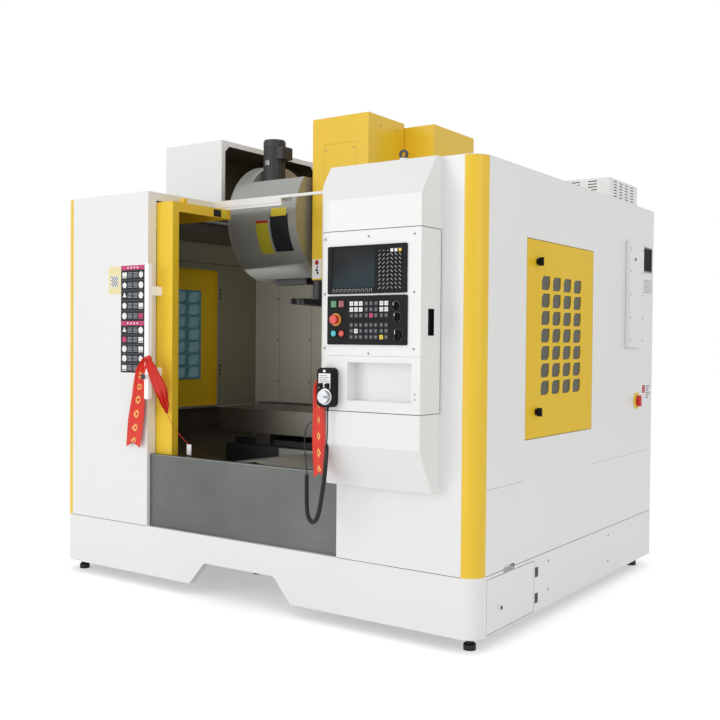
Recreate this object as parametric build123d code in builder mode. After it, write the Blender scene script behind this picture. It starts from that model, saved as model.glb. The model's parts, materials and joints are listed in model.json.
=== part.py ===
from build123d import *

import math
import os

os.makedirs("parts", exist_ok=True)

# A vertical machining centre in its sheet metal enclosure, in millimetres.
# The origin is on the floor under the middle of the whole machine, +X runs to the
# right, +Y to the back and +Z up. Places along Y are given as setbacks from the
# enclosure's front face, and places along X as distances from the middle.

# Enclosure
enclosure_width = 2600
enclosure_depth = 2130
frame_bottom = 60
base_top = 315
wall_top = 2050
sheet = 3
flange = 25
pillar_radius = 75
side_reach = 30
crank_reach = 250
running = 0.3
door_gap = 3

# Base
base_flange = 30
channel_width = 90
channel_height = 60
channel_wall = 8
front_channel_setback = 520
rear_channel_setback = 1720
skirt_bracket = 40
foot_radius = 27
foot_setback = 85
foot_inset = 90
foot_pad_height = 28
foot_pad_chamfer = 5
stud_radius = 12
nut_radius = 19
nut_sides = 6
nut_height = 12
notch_bottom_half = 325
notch_top_half = 225
notch_height = 116
notch_corner = 30
notch_lip = 40
fork_slot_setback = 241
fork_slot_length = 106
fork_slot_low = 12
fork_slot_high = 12

# Front opening and its sliding doors
opening_left = -633
opening_right = 590
cheek_depth = 57
door_setback = 60
door_thickness = 44
door_sill = 640
door_head = 2000
door_roof_depth = 495
door_roof_height = 50
stile_width = 118
door_bottom_rail = 240
door_top_rail = 140
left_door_start = -1235
left_door_width = 720
right_door_start = 596
right_door_width = 640
pane_thickness = 4
pane_lap = 15
grip_width = 30
grip_length = 220
grip_middle = 1320
handle_width = 30
handle_reach = 35
handle_thickness = 30
handle_bottom = 978
handle_length = 697
handle_inset = 11
handle_bracket = 45
handle_margin = 116
handle_corner = 5
lock_radius = 16
lock_length = 18
apron_setback = 20
apron_height = 690
apron_flange = 30

# Side walls and side doors
side_opening_setback = 435
side_opening_length = 776
side_opening_bottom = 852
side_opening_height = 898
side_frame_depth = 28
stop_width = 12
tray_depth = 20
hinge_inset = 8
hinge_gap = 4
hinge_pin_radius = 4
hinge_pin_length = 10
leaf_columns = 4
leaf_rows = 7
leaf_width = 90
leaf_height = 64
leaf_pitch_across = 123
leaf_pitch_up = 80
leaf_first_setback = 595
leaf_first_bottom = 1047
leaf_round = 30
side_pane_thickness = 5
side_pane_lap = 12
latch_setback = 545
latch_heights = (973, 1650)
latch_base_radius = 14
latch_base_height = 8
latch_grip_width = 10
latch_grip_length = 38
latch_shaft_radius = 8
latch_cam_length = 36
latch_cam_width = 16
latch_cam_thickness = 4
base_door_setback = 88
base_door_length = 462
base_door_low = 66
base_door_high = 300
base_latch_setback = 202
base_latch_height = 163
base_latch_radius = 11
base_latch_reach = 12
switch_setback = 1870
switch_height = 965
switch_radius = 30
switch_plate = 10
switch_grip_width = 14
switch_shaft_radius = 6
switch_shaft_length = 16

# Roof, hoods and covers above it
beam_setback = 475
beam_depth = 110
beam_drop = 35
beam_light_drop = 12
beam_drop_end = -140
beam_lip = 15
rim_drop = 40
roof_hole_right = 370
roof_hole_rear = 1625
guide_setback = 478
guide_width = 10
guide_inset = 60
hood_inset = 50
hood_width = 460
hood_setback = 715
hood_depth = 910
hood_height = 405
hood_rim = 30
vent_inset = 10
vent_width = 380
vent_setback = 1445
vent_depth = 420
vent_height = 107
vent_slot_height = 5
vent_slot_length = 50
vent_side_columns = 4
vent_side_rows = 6
vent_front_columns = 3
vent_front_rows = 5
column_cover_half = 380
column_cover_height = 440
column_cover_depth = 462

# Operator's control on the right of the front
housing_left = 580
housing_right = 1120
housing_reach = 160
housing_corner = 80
chin_bottom = 657
chin_bend = 842
chin_top = 986
chin_bottom_reach = 60
brow_bottom = 1752
brow_bend = 1885
brow_top_reach = 45
passage_half = 100
passage_height = 130
control_back = 5
control_hinge_inset = 10
control_hinge_setback = 20
control_pin_length = 16
recess_near = 104
recess_far = 56
recess_bottom = 1310
recess_height = 110
recess_depth = 15
shelf_left = 758
shelf_right = 1078
shelf_bottom = 1034
shelf_height = 162
shelf_depth = 70
eye_place = 943
eye_setback = 22
eye_radius = 16
eye_wire = 4
eye_collar = 9

# Screen, keys and switches
panel_left = 655
panel_proud = 6
screen_panel_width = 400
screen_panel_bottom = 1484
screen_panel_height = 202
screen_left = 679
screen_bottom = 1507
screen_width = 218
screen_height = 173
screen_recess = 2
key_proud = 1.5
pad_left = 916
pad_bottom = 1499
pad_columns = 6
pad_rows = 10
pad_pitch_across = 20
pad_pitch_up = 17
pad_key = 14
soft_key_count = 10
soft_key_left = 683
soft_key_bottom = 1490
soft_key_pitch = 21
soft_key_height = 14
switch_panel_width = 403
switch_panel_bottom = 1270
switch_panel_height = 206
button_travel = 4
button_proud = 5
square_button = 28
round_button_radius = 13
power_on_place = (690, 1442)
power_off_place = (730, 1442)
stop_place = (701, 1376)
start_place = (690, 1317)
hold_place = (731, 1317)
stop_stem_radius = 9
stop_stem_length = 8
stop_head_radius = 20
stop_head_height = 17
stop_head_round = 5.5
knob_places = ((1004, 1430), (1009, 1386), (1012, 1312))
knob_radii = (15, 15, 19)
knob_height = 20
knob_shaft_radius = 3
key_group_lefts = (773, 849, 925)
key_group_columns = (3, 3, 2)
key_size = 19
key_pitch_across = 24
key_pitch_up = 25
key_row_count = 3
key_block_bottoms = (1293, 1383)

# Hand wheel pendant and its cord
pendant_left = 629
pendant_width = 84
pendant_bottom = 1003
pendant_height = 168
pendant_thickness = 42
pendant_corner = 22
pendant_round = 4.5
magnet_thickness = 3
magnet_half = 30
wheel_place = (675, 1048)
wheel_radius = 28
wheel_thickness = 17
wheel_shaft_radius = 5
crank_offset = 20
crank_radius = 6
dial_radius = 9
dial_height = 12
dial_places = ((654, 1096), (689, 1096))
relief_radius = 6
relief_length = 18
relief_setback = -185
cord_radius = 3.5
arc_share = 0.45
curl_radius = 11
connector_radius = 14
connector_length = 40
connector_setback = -55
connector_height = 925
connector_gland = 20

# Sheet metal inside the working space
ledge_far = 115
ledge_lip = 36
pan_side_top = 846
pan_bend = 700
guard_setback = 1612
guard_bottom = 868
guard_side = 300
way_cover_setback = 120
way_cover_end = 540
way_cover_half = 430
way_cover_eaves = 625
way_cover_ridge = 690
way_plate_gap = 4
way_plate_start = 150

# Machine
bed_half = 450
bed_setback = 345
bed_end = 1965
bed_top = 560
bed_pocket_depth = 60
bed_pocket_count = 4
bed_pocket_rib = 60
rail_width = 35
rail_height = 30
bed_rail_place = 300
bed_rail_start = 440
bed_rail_end = 1380
column_half = 300
column_setback = 1395
column_foot_end = 1915
column_waist = 1200
column_top_end = 1620
column_rail_place = 120
column_rail_bottom = 1080
column_rail_top = 2060
column_rail_height = 40
saddle_half = 620
saddle_setback = 585
saddle_depth = 380
saddle_bottom = 605
saddle_top = 705
carriage_length = 100
carriage_cheek = 26
table_middle = -140
table_half = 525
table_setback = 565
table_depth = 420
table_bottom = 775
table_top = 905
table_rail_spread = 120
table_rail_half = 600
table_carriage_place = 230
slot_pitch = 110
slot_mouth = 18
slot_base = 30
slot_lip = 14
slot_depth = 30
head_half = 150
head_setback = 895
head_bottom = 1560
head_top = 2040
head_boss_bottom = 1700
head_boss_height = 260
head_boss_setback = 950
head_boss_depth = 150
motor_half = 100
motor_height = 380
spindle_setback = 1035
spindle_nose_radius = 44
spindle_nose_height = 30
spindle_shaft_radius = 35
spindle_shaft_length = 230
taper_mouth_radius = 22
taper_end_radius = 14
taper_depth = 65
head_cover_half = 188
head_cover_setback = 809
head_cover_depth = 356
head_cover_bottom = 1625
head_cover_height = 891

# Tool magazine and changer
drum_height = 1983
drum_radius = 344
drum_left = -710
drum_right = -215
drum_step = -600
drum_flat = 2200
drum_mouth_left = -640
drum_mouth_near = 950
drum_mouth_far = 1120
drum_pad_bottom = 1850
drum_pad_height = 190
gearbox_right = -240
gearbox_near = 825
gearbox_far = 1140
gearbox_bottom = 1740
gearbox_motor_radius = 62
gearbox_motor_place = -530
gearbox_motor_setback = 885
gearbox_motor_top = 2450
terminal_box = 46
terminal_height = 69
terminal_drop = 46
terminal_sink = 11
pot_bracket_right = -370
pot_bracket_bottom = 1618
pot_bracket_near = 990
pot_bracket_far = 1080
disc_thickness = 10
pot_count = 20
pot_radius = 34
pot_bore = 22
pot_circle = 262
pot_length = 76
disc_edge = 300
disc_hub_radius = 70
disc_shaft_radius = 30
arm_place = -310
arm_bottom = 1490
arm_thickness = 32
arm_half_length = 310
arm_half_width = 40
arm_grip_radius = 28
arm_shaft_top = 1795
arm_rest_angle = 14

# Cabinets at the back
cabinet_inset = 38
cabinet_width = 622
cabinet_setback = 1640
cabinet_depth = 470
cabinet_top = 2030
service_setback = 1675
service_length = 220
service_bottom = 1262
service_height = 583
service_reach = 25
stiffener_places = (-900, -300, 300, 900)
stiffener_half = 40

half = enclosure_width / 2
front = -(enclosure_depth + crank_reach) / 2 + crank_reach
frame_top = frame_bottom + channel_height
channel_outer = half - base_flange
inner_depth = enclosure_depth - sheet
pillar_centre = half - pillar_radius
panel_start = pillar_radius + sheet
hood_left = hood_inset - half
hood_right = hood_left + hood_width
vent_right = half - vent_inset
vent_left = vent_right - vent_width
cabinet_right = half - cabinet_inset
cabinet_left = cabinet_right - cabinet_width
roof_top = wall_top + sheet


def setback(near, far):
    """Limits along Y, measured back from the enclosure's front face."""
    return front + near, front + far


def sided(side, inner, outer):
    """Limits along X on one side, measured out from the middle."""
    return tuple(sorted((side * inner, side * outer)))


def block(x, y, z, mode=Mode.ADD):
    """Box between a low and a high limit on each axis."""
    middle = [(low + high) / 2 for low, high in (x, y, z)]
    with Locations(tuple(middle)):
        Box(x[1] - x[0], y[1] - y[0], z[1] - z[0], mode=mode)


def post(x, y, z, radius, mode=Mode.ADD):
    """Upright cylinder between two heights."""
    with Locations((x, y, (z[0] + z[1]) / 2)):
        Cylinder(radius, z[1] - z[0], mode=mode)


def rod_along_x(x, y, z, radius, mode=Mode.ADD):
    """Cylinder that lies along X between two limits."""
    with Locations(((x[0] + x[1]) / 2, y, z)):
        Cylinder(radius, x[1] - x[0], rotation=(0, 90, 0), mode=mode)


def rod_along_y(x, y, z, radius, mode=Mode.ADD):
    """Cylinder that lies along Y between two limits."""
    with Locations((x, (y[0] + y[1]) / 2, z)):
        Cylinder(radius, y[1] - y[0], rotation=(90, 0, 0), mode=mode)


def front_rounded_block(inset, depth, z, mode=Mode.ADD):
    """Upright block with the enclosure's rounded front corners, inset all round the front."""
    width = enclosure_width - 2 * inset
    near, far = setback(inset, depth)
    with BuildSketch(Plane.XY.offset(z[0])) as plan:
        with Locations((0, (near + far) / 2)):
            Rectangle(width, far - near)
        fillet(plan.vertices().group_by(Axis.Y)[0], pillar_radius - inset)
    extrude(plan.sketch, amount=z[1] - z[0], mode=mode)


def pin_row(side, setback_place, z_low, z_high):
    """Two hinge pins, one down from the upper limit and one up from the lower."""
    x = side * (half - hinge_inset)
    y = front + setback_place
    post(x, y, (z_low - door_gap, z_low - door_gap + hinge_pin_length), hinge_pin_radius)
    post(x, y, (z_high + door_gap - hinge_pin_length, z_high + door_gap), hinge_pin_radius)


def hung_tray(side, near, far, low, high):
    """Door of folded sheet with a deep rim and two holes for its hinge pins."""
    block(sided(side, half - tray_depth, half), setback(near, far), (low, high))
    block(
        sided(side, half - tray_depth, half - sheet),
        setback(near + sheet, far - sheet),
        (low + sheet, high - sheet),
        mode=Mode.SUBTRACT,
    )
    x = side * (half - hinge_inset)
    y = front + far - hinge_inset
    post(x, y, (low, low + sheet), hinge_pin_radius + running, mode=Mode.SUBTRACT)
    post(x, y, (high - sheet, high), hinge_pin_radius + running, mode=Mode.SUBTRACT)


# Base frame: two side channels and two cross channels, open at the bottom
side_channel = (channel_outer - channel_width, channel_outer)
cross_channels = (front_channel_setback, rear_channel_setback)

with BuildPart() as base_frame:
    for side in (-1, 1):
        block(sided(side, *side_channel), setback(skirt_bracket, inner_depth), (frame_bottom, frame_top))
    for near in cross_channels:
        block(
            (-channel_outer, channel_outer),
            setback(near, near + channel_width),
            (frame_bottom, frame_top),
        )
    for side in (-1, 1):
        block(
            sided(side, side_channel[0] + channel_wall, channel_outer - channel_wall),
            setback(skirt_bracket + channel_wall, inner_depth - channel_wall),
            (frame_bottom, frame_top - channel_wall),
            mode=Mode.SUBTRACT,
        )
    for near in cross_channels:
        block(
            (-side_channel[0] + channel_wall, side_channel[0] - channel_wall),
            setback(near + channel_wall, near + channel_width - channel_wall),
            (frame_bottom, frame_top - channel_wall),
            mode=Mode.SUBTRACT,
        )
    for side in (-1, 1):
        block(
            sided(side, side_channel[0], side_channel[0] + skirt_bracket),
            setback(sheet, skirt_bracket),
            (frame_bottom, frame_top),
        )
base_frame.part.label = "base_frame"
export_step(base_frame.part, "parts/base_frame.step")

# Leveling feet under both kinds of channel: a pad, a stud and its lock nut
corner_foot = channel_outer - channel_width / 2
foot_places = [
    (side * corner_foot, front + near)
    for side in (-1, 1)
    for near in (foot_setback, inner_depth - foot_inset)
]
foot_places += [
    (side * (bed_half - foot_inset), front + near + channel_width / 2)
    for side in (-1, 1)
    for near in cross_channels
]

with BuildPart() as leveling_feet:
    with BuildSketch(Plane.XY):
        with Locations(*foot_places):
            Circle(foot_radius)
    extrude(amount=foot_pad_height)
    chamfer(leveling_feet.edges().group_by(Axis.Z)[-1], foot_pad_chamfer)
    with BuildSketch(Plane.XY.offset(foot_pad_height)):
        with Locations(*foot_places):
            Circle(stud_radius)
    extrude(amount=frame_top - channel_wall - foot_pad_height)
    with BuildSketch(Plane.XY.offset(foot_pad_height)):
        with Locations(*foot_places):
            RegularPolygon(nut_radius, nut_sides)
    extrude(amount=nut_height)
leveling_feet.part.label = "leveling_feet"
export_step(leveling_feet.part, "parts/leveling_feet.step")

# Front skirt: wraps both front corners and is notched in the middle for a pallet truck
skirt_lip = (base_top - sheet, base_top)

with BuildPart() as front_skirt:
    front_rounded_block(0, panel_start, (frame_bottom, base_top))
    front_rounded_block(sheet, panel_start, (frame_bottom, base_top), mode=Mode.SUBTRACT)
    front_rounded_block(0, panel_start, skirt_lip)
    front_rounded_block(base_flange, panel_start, skirt_lip, mode=Mode.SUBTRACT)
    for reach, near, far, mode in (
        (sheet, 0, notch_lip, Mode.ADD),
        (0, 0, notch_lip, Mode.SUBTRACT),
    ):
        with BuildSketch(Plane.XZ.offset(-front - near)) as notch:
            with BuildLine():
                Polyline(
                    (-notch_bottom_half - reach, frame_bottom),
                    (-notch_top_half - reach / 2, frame_bottom + notch_height + reach),
                    (notch_top_half + reach / 2, frame_bottom + notch_height + reach),
                    (notch_bottom_half + reach, frame_bottom),
                    close=True,
                )
            make_face()
            fillet(notch.vertices().group_by(Axis.Y)[-1], notch_corner + reach)
        extrude(amount=far - near, dir=(0, 1, 0), mode=mode)
front_skirt.part.label = "front_skirt"
export_step(front_skirt.part, "parts/front_skirt.step")


def side_plate(side, low, high, near, depth):
    """Side panel with its edges folded inwards at the top and bottom."""
    plate = sided(side, half - sheet, half)
    lip = sided(side, half - depth, half)
    block(plate, setback(near, inner_depth), (low, high))
    block(lip, setback(near, inner_depth), (high - sheet, high))
    block(lip, setback(near, inner_depth), (low, low + sheet))


def fork_slot(side, low, high, depth):
    """Slot at the seam between the base and the wall."""
    block(
        sided(side, half - depth, half),
        setback(fork_slot_setback, fork_slot_setback + fork_slot_length),
        (low, high),
        mode=Mode.SUBTRACT,
    )


# Base panels: the right one has the base door's opening and its hinge pins
base_door_far = base_door_setback + base_door_length

for side, name in ((-1, "left_base_panel"), (1, "right_base_panel")):
    with BuildPart() as base_panel:
        side_plate(side, frame_bottom, base_top, panel_start, base_flange)
        fork_slot(side, base_top - fork_slot_low, base_top, base_flange)
        if side == 1:
            block(
                (half - sheet, half),
                setback(base_door_setback, base_door_far),
                (base_door_low, base_door_high),
                mode=Mode.SUBTRACT,
            )
            for low, high in (
                (base_door_low - sheet, base_door_low),
                (base_door_high, base_door_high + sheet),
            ):
                block(
                    (half - 2 * hinge_inset, half - sheet),
                    setback(base_door_far - 3 * hinge_inset, base_door_far - hinge_gap),
                    (low, high),
                )
            pin_row(
                side,
                base_door_far - hinge_gap - hinge_inset,
                base_door_low + door_gap,
                base_door_high - door_gap,
            )
    base_panel.part.label = name
    export_step(base_panel.part, f"parts/{name}.step")

# Corner pillars: a quarter of a tube with a folded edge on each side
pillar_edge = front + pillar_radius + pillar_radius / 2

with BuildPart() as corner_pillars:
    with BuildSketch(Plane.XY.offset(base_top)):
        for side in (-1, 1):
            with Locations((side * pillar_centre, front + pillar_radius)):
                Circle(pillar_radius)
                Circle(pillar_radius - sheet, mode=Mode.SUBTRACT)
            with Locations((side * (pillar_centre - pillar_radius / 2), front + pillar_radius)):
                Rectangle(pillar_radius, 2 * pillar_radius, mode=Mode.SUBTRACT)
            with Locations((side * (pillar_centre + pillar_radius / 2), pillar_edge)):
                Rectangle(pillar_radius, pillar_radius, mode=Mode.SUBTRACT)
            with Locations((side * (pillar_centre + sheet / 2), front + (sheet + flange) / 2)):
                Rectangle(sheet, flange - sheet)
            with Locations((side * (half - (sheet + flange) / 2), front + pillar_radius - sheet / 2)):
                Rectangle(flange - sheet, sheet)
    extrude(amount=wall_top - base_top)
corner_pillars.part.label = "corner_pillars"
export_step(corner_pillars.part, "parts/corner_pillars.step")

# Left cabinet: the front panel that the open left door slides behind
with BuildPart() as left_cabinet:
    block((-pillar_centre, opening_left), setback(0, sheet), (base_top, wall_top))
    block((-pillar_centre, -pillar_centre + sheet), setback(0, flange), (base_top, wall_top))
    block((opening_left - sheet, opening_left), setback(0, cheek_depth), (base_top, wall_top))
    for low in (base_top, wall_top - sheet):
        block((-pillar_centre, opening_left), setback(0, flange), (low, low + sheet))
left_cabinet.part.label = "left_cabinet"
export_step(left_cabinet.part, "parts/left_cabinet.step")

# Side walls, each with the framed opening of its side door and the door's hinge pins
side_opening_far = side_opening_setback + side_opening_length
side_opening_top = side_opening_bottom + side_opening_height
side_opening = setback(side_opening_setback, side_opening_far)
side_opening_heights = (side_opening_bottom, side_opening_top)

for side, name in ((-1, "left_wall"), (1, "right_wall")):
    with BuildPart() as wall:
        side_plate(side, base_top, wall_top, panel_start, flange)
        for near in (panel_start - sheet, inner_depth - sheet):
            block(
                sided(side, half - flange, half),
                setback(near, near + sheet),
                (base_top, wall_top),
            )
        block(
            sided(side, half - side_frame_depth, half),
            setback(side_opening_setback - sheet, side_opening_far + sheet),
            (side_opening_bottom - sheet, side_opening_top + sheet),
        )
        block(
            sided(side, half - side_frame_depth + sheet, half),
            side_opening,
            side_opening_heights,
            mode=Mode.SUBTRACT,
        )
        block(
            sided(side, half - side_frame_depth, half - side_frame_depth + sheet),
            setback(side_opening_setback + stop_width, side_opening_far - stop_width),
            (side_opening_bottom + stop_width, side_opening_top - stop_width),
            mode=Mode.SUBTRACT,
        )
        fork_slot(side, base_top, base_top + fork_slot_high, flange)
        pin_row(
            side,
            side_opening_far - hinge_gap - hinge_inset,
            side_opening_bottom + door_gap,
            side_opening_top - door_gap,
        )
        if side == 1:
            rod_along_x(
                (half - sheet, half),
                front + switch_setback,
                switch_height,
                switch_shaft_radius + running,
                mode=Mode.SUBTRACT,
            )
    wall.part.label = name
    export_step(wall.part, f"parts/{name}.step")

# Rear wall: one full sheet with upright stiffeners inside
cabinet_far = cabinet_setback + cabinet_depth

with BuildPart() as rear_wall:
    block((-half, half), setback(inner_depth, enclosure_depth), (frame_bottom, wall_top))
    for place in stiffener_places:
        block(
            (place - stiffener_half, place + stiffener_half),
            setback(cabinet_far, inner_depth),
            (base_top, wall_top - base_flange),
        )
        block(
            (place - stiffener_half + sheet, place + stiffener_half - sheet),
            setback(cabinet_far + sheet, inner_depth),
            (base_top, wall_top - base_flange),
            mode=Mode.SUBTRACT,
        )
rear_wall.part.label = "rear_wall"
export_step(rear_wall.part, "parts/rear_wall.step")

# Roof: one sheet, open over the front doors, the machine and the tool magazine
rim_bottom = wall_top - rim_drop
beam_far = beam_setback + beam_depth
hood_far = hood_setback + hood_depth

with BuildPart() as roof_panel:
    front_rounded_block(0, enclosure_depth, (wall_top, roof_top))
    block(
        (opening_left, opening_right),
        setback(0, beam_setback),
        (wall_top, roof_top),
        mode=Mode.SUBTRACT,
    )
    block(
        (hood_right, roof_hole_right),
        setback(beam_far, roof_hole_rear),
        (wall_top, roof_top),
        mode=Mode.SUBTRACT,
    )
    block(
        (beam_drop_end, roof_hole_right),
        setback(beam_setback + beam_lip, beam_far),
        (wall_top, roof_top),
        mode=Mode.SUBTRACT,
    )
    block(
        (hood_left + sheet, hood_right),
        setback(hood_setback + sheet, hood_far - sheet),
        (wall_top, roof_top),
        mode=Mode.SUBTRACT,
    )
    block((opening_left - sheet, opening_left), setback(cheek_depth, beam_setback), (rim_bottom, wall_top))
    block(
        (opening_left - sheet, beam_drop_end),
        setback(beam_setback, beam_setback + sheet),
        (wall_top - beam_drop, wall_top),
    )
    block(
        (beam_drop_end, opening_right),
        setback(beam_setback, beam_setback + sheet),
        (wall_top - beam_light_drop, wall_top),
    )
    block(
        (hood_right, beam_drop_end),
        setback(beam_far - sheet, beam_far),
        (wall_top - beam_light_drop, wall_top),
    )
    block(
        (guide_inset - half, beam_drop_end),
        setback(guide_setback, guide_setback + guide_width),
        (door_head + running, wall_top),
    )
    block(
        (beam_drop_end, half - guide_inset),
        setback(guide_setback, guide_setback + guide_width),
        (wall_top - beam_light_drop, wall_top),
    )
roof_panel.part.label = "roof_panel"
export_step(roof_panel.part, "parts/roof_panel.step")

# Magazine hood: stands on the roof and is open towards the column
hood_top = roof_top + hood_height

with BuildPart() as magazine_hood:
    block((hood_left, hood_right), setback(hood_setback, hood_far), (roof_top, hood_top))
    block(
        (hood_left + sheet, hood_right - sheet),
        setback(hood_setback + sheet, hood_far - sheet),
        (roof_top, hood_top - sheet),
        mode=Mode.SUBTRACT,
    )
    block(
        (hood_right - sheet, hood_right),
        setback(hood_setback + hood_rim, hood_far - hood_rim),
        (roof_top, hood_top - hood_rim),
        mode=Mode.SUBTRACT,
    )
magazine_hood.part.label = "magazine_hood"
export_step(magazine_hood.part, "parts/magazine_hood.step")

# Vent box on the roof, slotted on its front and right sides
vent_far = vent_setback + vent_depth
vent_top = roof_top + vent_height
vent_pitch_up = vent_height / (vent_side_rows + 1)
vent_pitch_along = vent_depth / (vent_side_columns + 1)
vent_pitch_across = (vent_right - vent_left) / (vent_front_columns + 1)

with BuildPart() as vent_box:
    block((vent_left, vent_right), setback(vent_setback, vent_far), (roof_top, vent_top))
    block(
        (vent_left + sheet, vent_right - sheet),
        setback(vent_setback + sheet, vent_far - sheet),
        (roof_top, vent_top - sheet),
        mode=Mode.SUBTRACT,
    )
    for row in range(vent_side_rows):
        low = roof_top + vent_pitch_up * (row + 1) - vent_slot_height / 2
        for column in range(vent_side_columns):
            middle = vent_setback + vent_pitch_along * (column + 1)
            block(
                (vent_right - sheet, vent_right),
                setback(middle - vent_slot_length / 2, middle + vent_slot_length / 2),
                (low, low + vent_slot_height),
                mode=Mode.SUBTRACT,
            )
        if row < vent_front_rows:
            for column in range(vent_front_columns):
                middle = vent_left + vent_pitch_across * (column + 1)
                block(
                    (middle - vent_slot_length / 2, middle + vent_slot_length / 2),
                    setback(vent_setback, vent_setback + sheet),
                    (low + vent_pitch_up, low + vent_pitch_up + vent_slot_height),
                    mode=Mode.SUBTRACT,
                )
vent_box.part.label = "vent_box"
export_step(vent_box.part, "parts/vent_box.step")

# Column cover: stands on the roof over the column's top, cut back where the drum is
head_cover_far = head_cover_setback + head_cover_depth
column_cover_near = head_cover_far + door_gap
column_cover_far = column_cover_near + column_cover_depth
column_cover_top = roof_top + column_cover_height

with BuildPart() as column_cover:
    block(
        (-column_cover_half, column_cover_half),
        setback(column_cover_near, column_cover_far),
        (roof_top, column_cover_top),
    )
    block(
        (-column_cover_half, drum_right + door_gap),
        setback(column_cover_near, spindle_setback + drum_radius + door_gap),
        (roof_top, column_cover_top),
        mode=Mode.SUBTRACT,
    )
    offset(amount=-sheet, openings=column_cover.faces().sort_by(Axis.Z)[0])
column_cover.part.label = "column_cover"
export_step(column_cover.part, "parts/column_cover.step")


def control_block(inset, back, z, mode=Mode.ADD):
    """Upright block with the control's plan, rounded at its front left corner."""
    left, right = housing_left + inset, housing_right - inset
    near, far = front - housing_reach + inset, front - back
    with BuildSketch(Plane.XY.offset(z[0])) as plan:
        with Locations(((left + right) / 2, (near + far) / 2)):
            Rectangle(right - left, far - near)
        fillet(plan.vertices().group_by(Axis.Y)[0].sort_by(Axis.X)[0], housing_corner - inset)
    extrude(plan.sketch, amount=z[1] - z[0], mode=mode)


# Control housing: the front panel right of the opening, with a brow over the
# control door and a chin under it that slants back at its foot
brow_lean = Plane(
    origin=(0, front - housing_reach, brow_bend),
    z_dir=(0, wall_top - brow_bend, brow_top_reach - housing_reach),
)
chin_lean = Plane(
    origin=(0, front - housing_reach, chin_bend),
    z_dir=(0, chin_bend - chin_bottom, housing_reach - chin_bottom_reach),
)

with BuildPart() as brow:
    control_block(0, 0, (brow_bottom, wall_top))
    split(bisect_by=brow_lean, keep=Keep.TOP)
    offset(amount=-sheet, openings=brow.faces().sort_by(Axis.Y)[-1])

with BuildPart() as chin:
    control_block(0, 0, (chin_bottom, chin_top))
    split(bisect_by=chin_lean, keep=Keep.TOP)
    offset(amount=-sheet, openings=chin.faces().sort_by(Axis.Y)[-1])

control_bottom = chin_top + door_gap
control_top = brow_bottom - door_gap
control_middle = (housing_left + housing_right) / 2
passage_middles = (
    (chin_bend + chin_top) / 2 - passage_height / 4,
    (control_bottom + control_top) / 2,
    (brow_bottom + wall_top) / 2,
)
control_hinge = (housing_left + control_hinge_inset, front - control_hinge_setback)

with BuildPart() as control_housing:
    add(brow.part)
    add(chin.part)
    block((opening_right, pillar_centre), setback(0, sheet), (base_top, wall_top))
    block((opening_right, opening_right + sheet), setback(0, cheek_depth), (base_top, wall_top))
    block((pillar_centre - sheet, pillar_centre), setback(0, flange), (base_top, wall_top))
    for low in (base_top, wall_top - sheet):
        block((opening_right, pillar_centre), setback(0, flange), (low, low + sheet))
    for low, high in ((brow_bottom, wall_top), (chin_bottom, chin_top)):
        block((housing_left, opening_right + sheet), setback(-sheet, 0), (low, high))
    for middle in passage_middles:
        block(
            (control_middle - passage_half, control_middle + passage_half),
            setback(0, sheet),
            (middle - passage_height / 2, middle + passage_height / 2),
            mode=Mode.SUBTRACT,
        )
    post(*control_hinge, (chin_top, chin_top + control_pin_length), hinge_pin_radius)
    post(*control_hinge, (brow_bottom - control_pin_length, brow_bottom), hinge_pin_radius)
    post(eye_place, front - eye_setback, (wall_top, wall_top + eye_collar), eye_radius)
    with BuildSketch(Plane.XZ.offset(-front + eye_setback - eye_wire)):
        with Locations((eye_place, wall_top + eye_collar + eye_radius)):
            Circle(eye_radius + eye_wire)
            Circle(eye_radius - eye_wire, mode=Mode.SUBTRACT)
    extrude(amount=2 * eye_wire)
control_housing.part.label = "control_housing"
export_step(control_housing.part, "parts/control_housing.step")

# Front apron under the doors, brushed steel
with BuildPart() as front_apron:
    block(
        (opening_left, opening_right),
        setback(apron_setback, apron_setback + sheet),
        (base_top, apron_height),
    )
    block(
        (opening_left, opening_right),
        setback(apron_setback, apron_setback + apron_flange),
        (apron_height - sheet, apron_height),
    )
    for edge in (opening_left, opening_right - sheet):
        block(
            (edge, edge + sheet),
            setback(apron_setback, apron_setback + apron_flange),
            (base_top, apron_height),
        )
front_apron.part.label = "front_apron"
export_step(front_apron.part, "parts/front_apron.step")

# Splash guard: two plates between the column and the side walls
with BuildPart() as splash_guard:
    for side in (-1, 1):
        block(
            sided(side, guard_side, half - sheet),
            setback(guard_setback, guard_setback + sheet),
            (guard_bottom, wall_top - sheet),
        )
splash_guard.part.label = "splash_guard"
export_step(splash_guard.part, "parts/splash_guard.step")

# Chip pan: a door track at the front, a floor before the bed and a chute on each side
ledge_top = door_sill - running
ledge_near = cheek_depth
pan_wall = half - sheet

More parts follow.
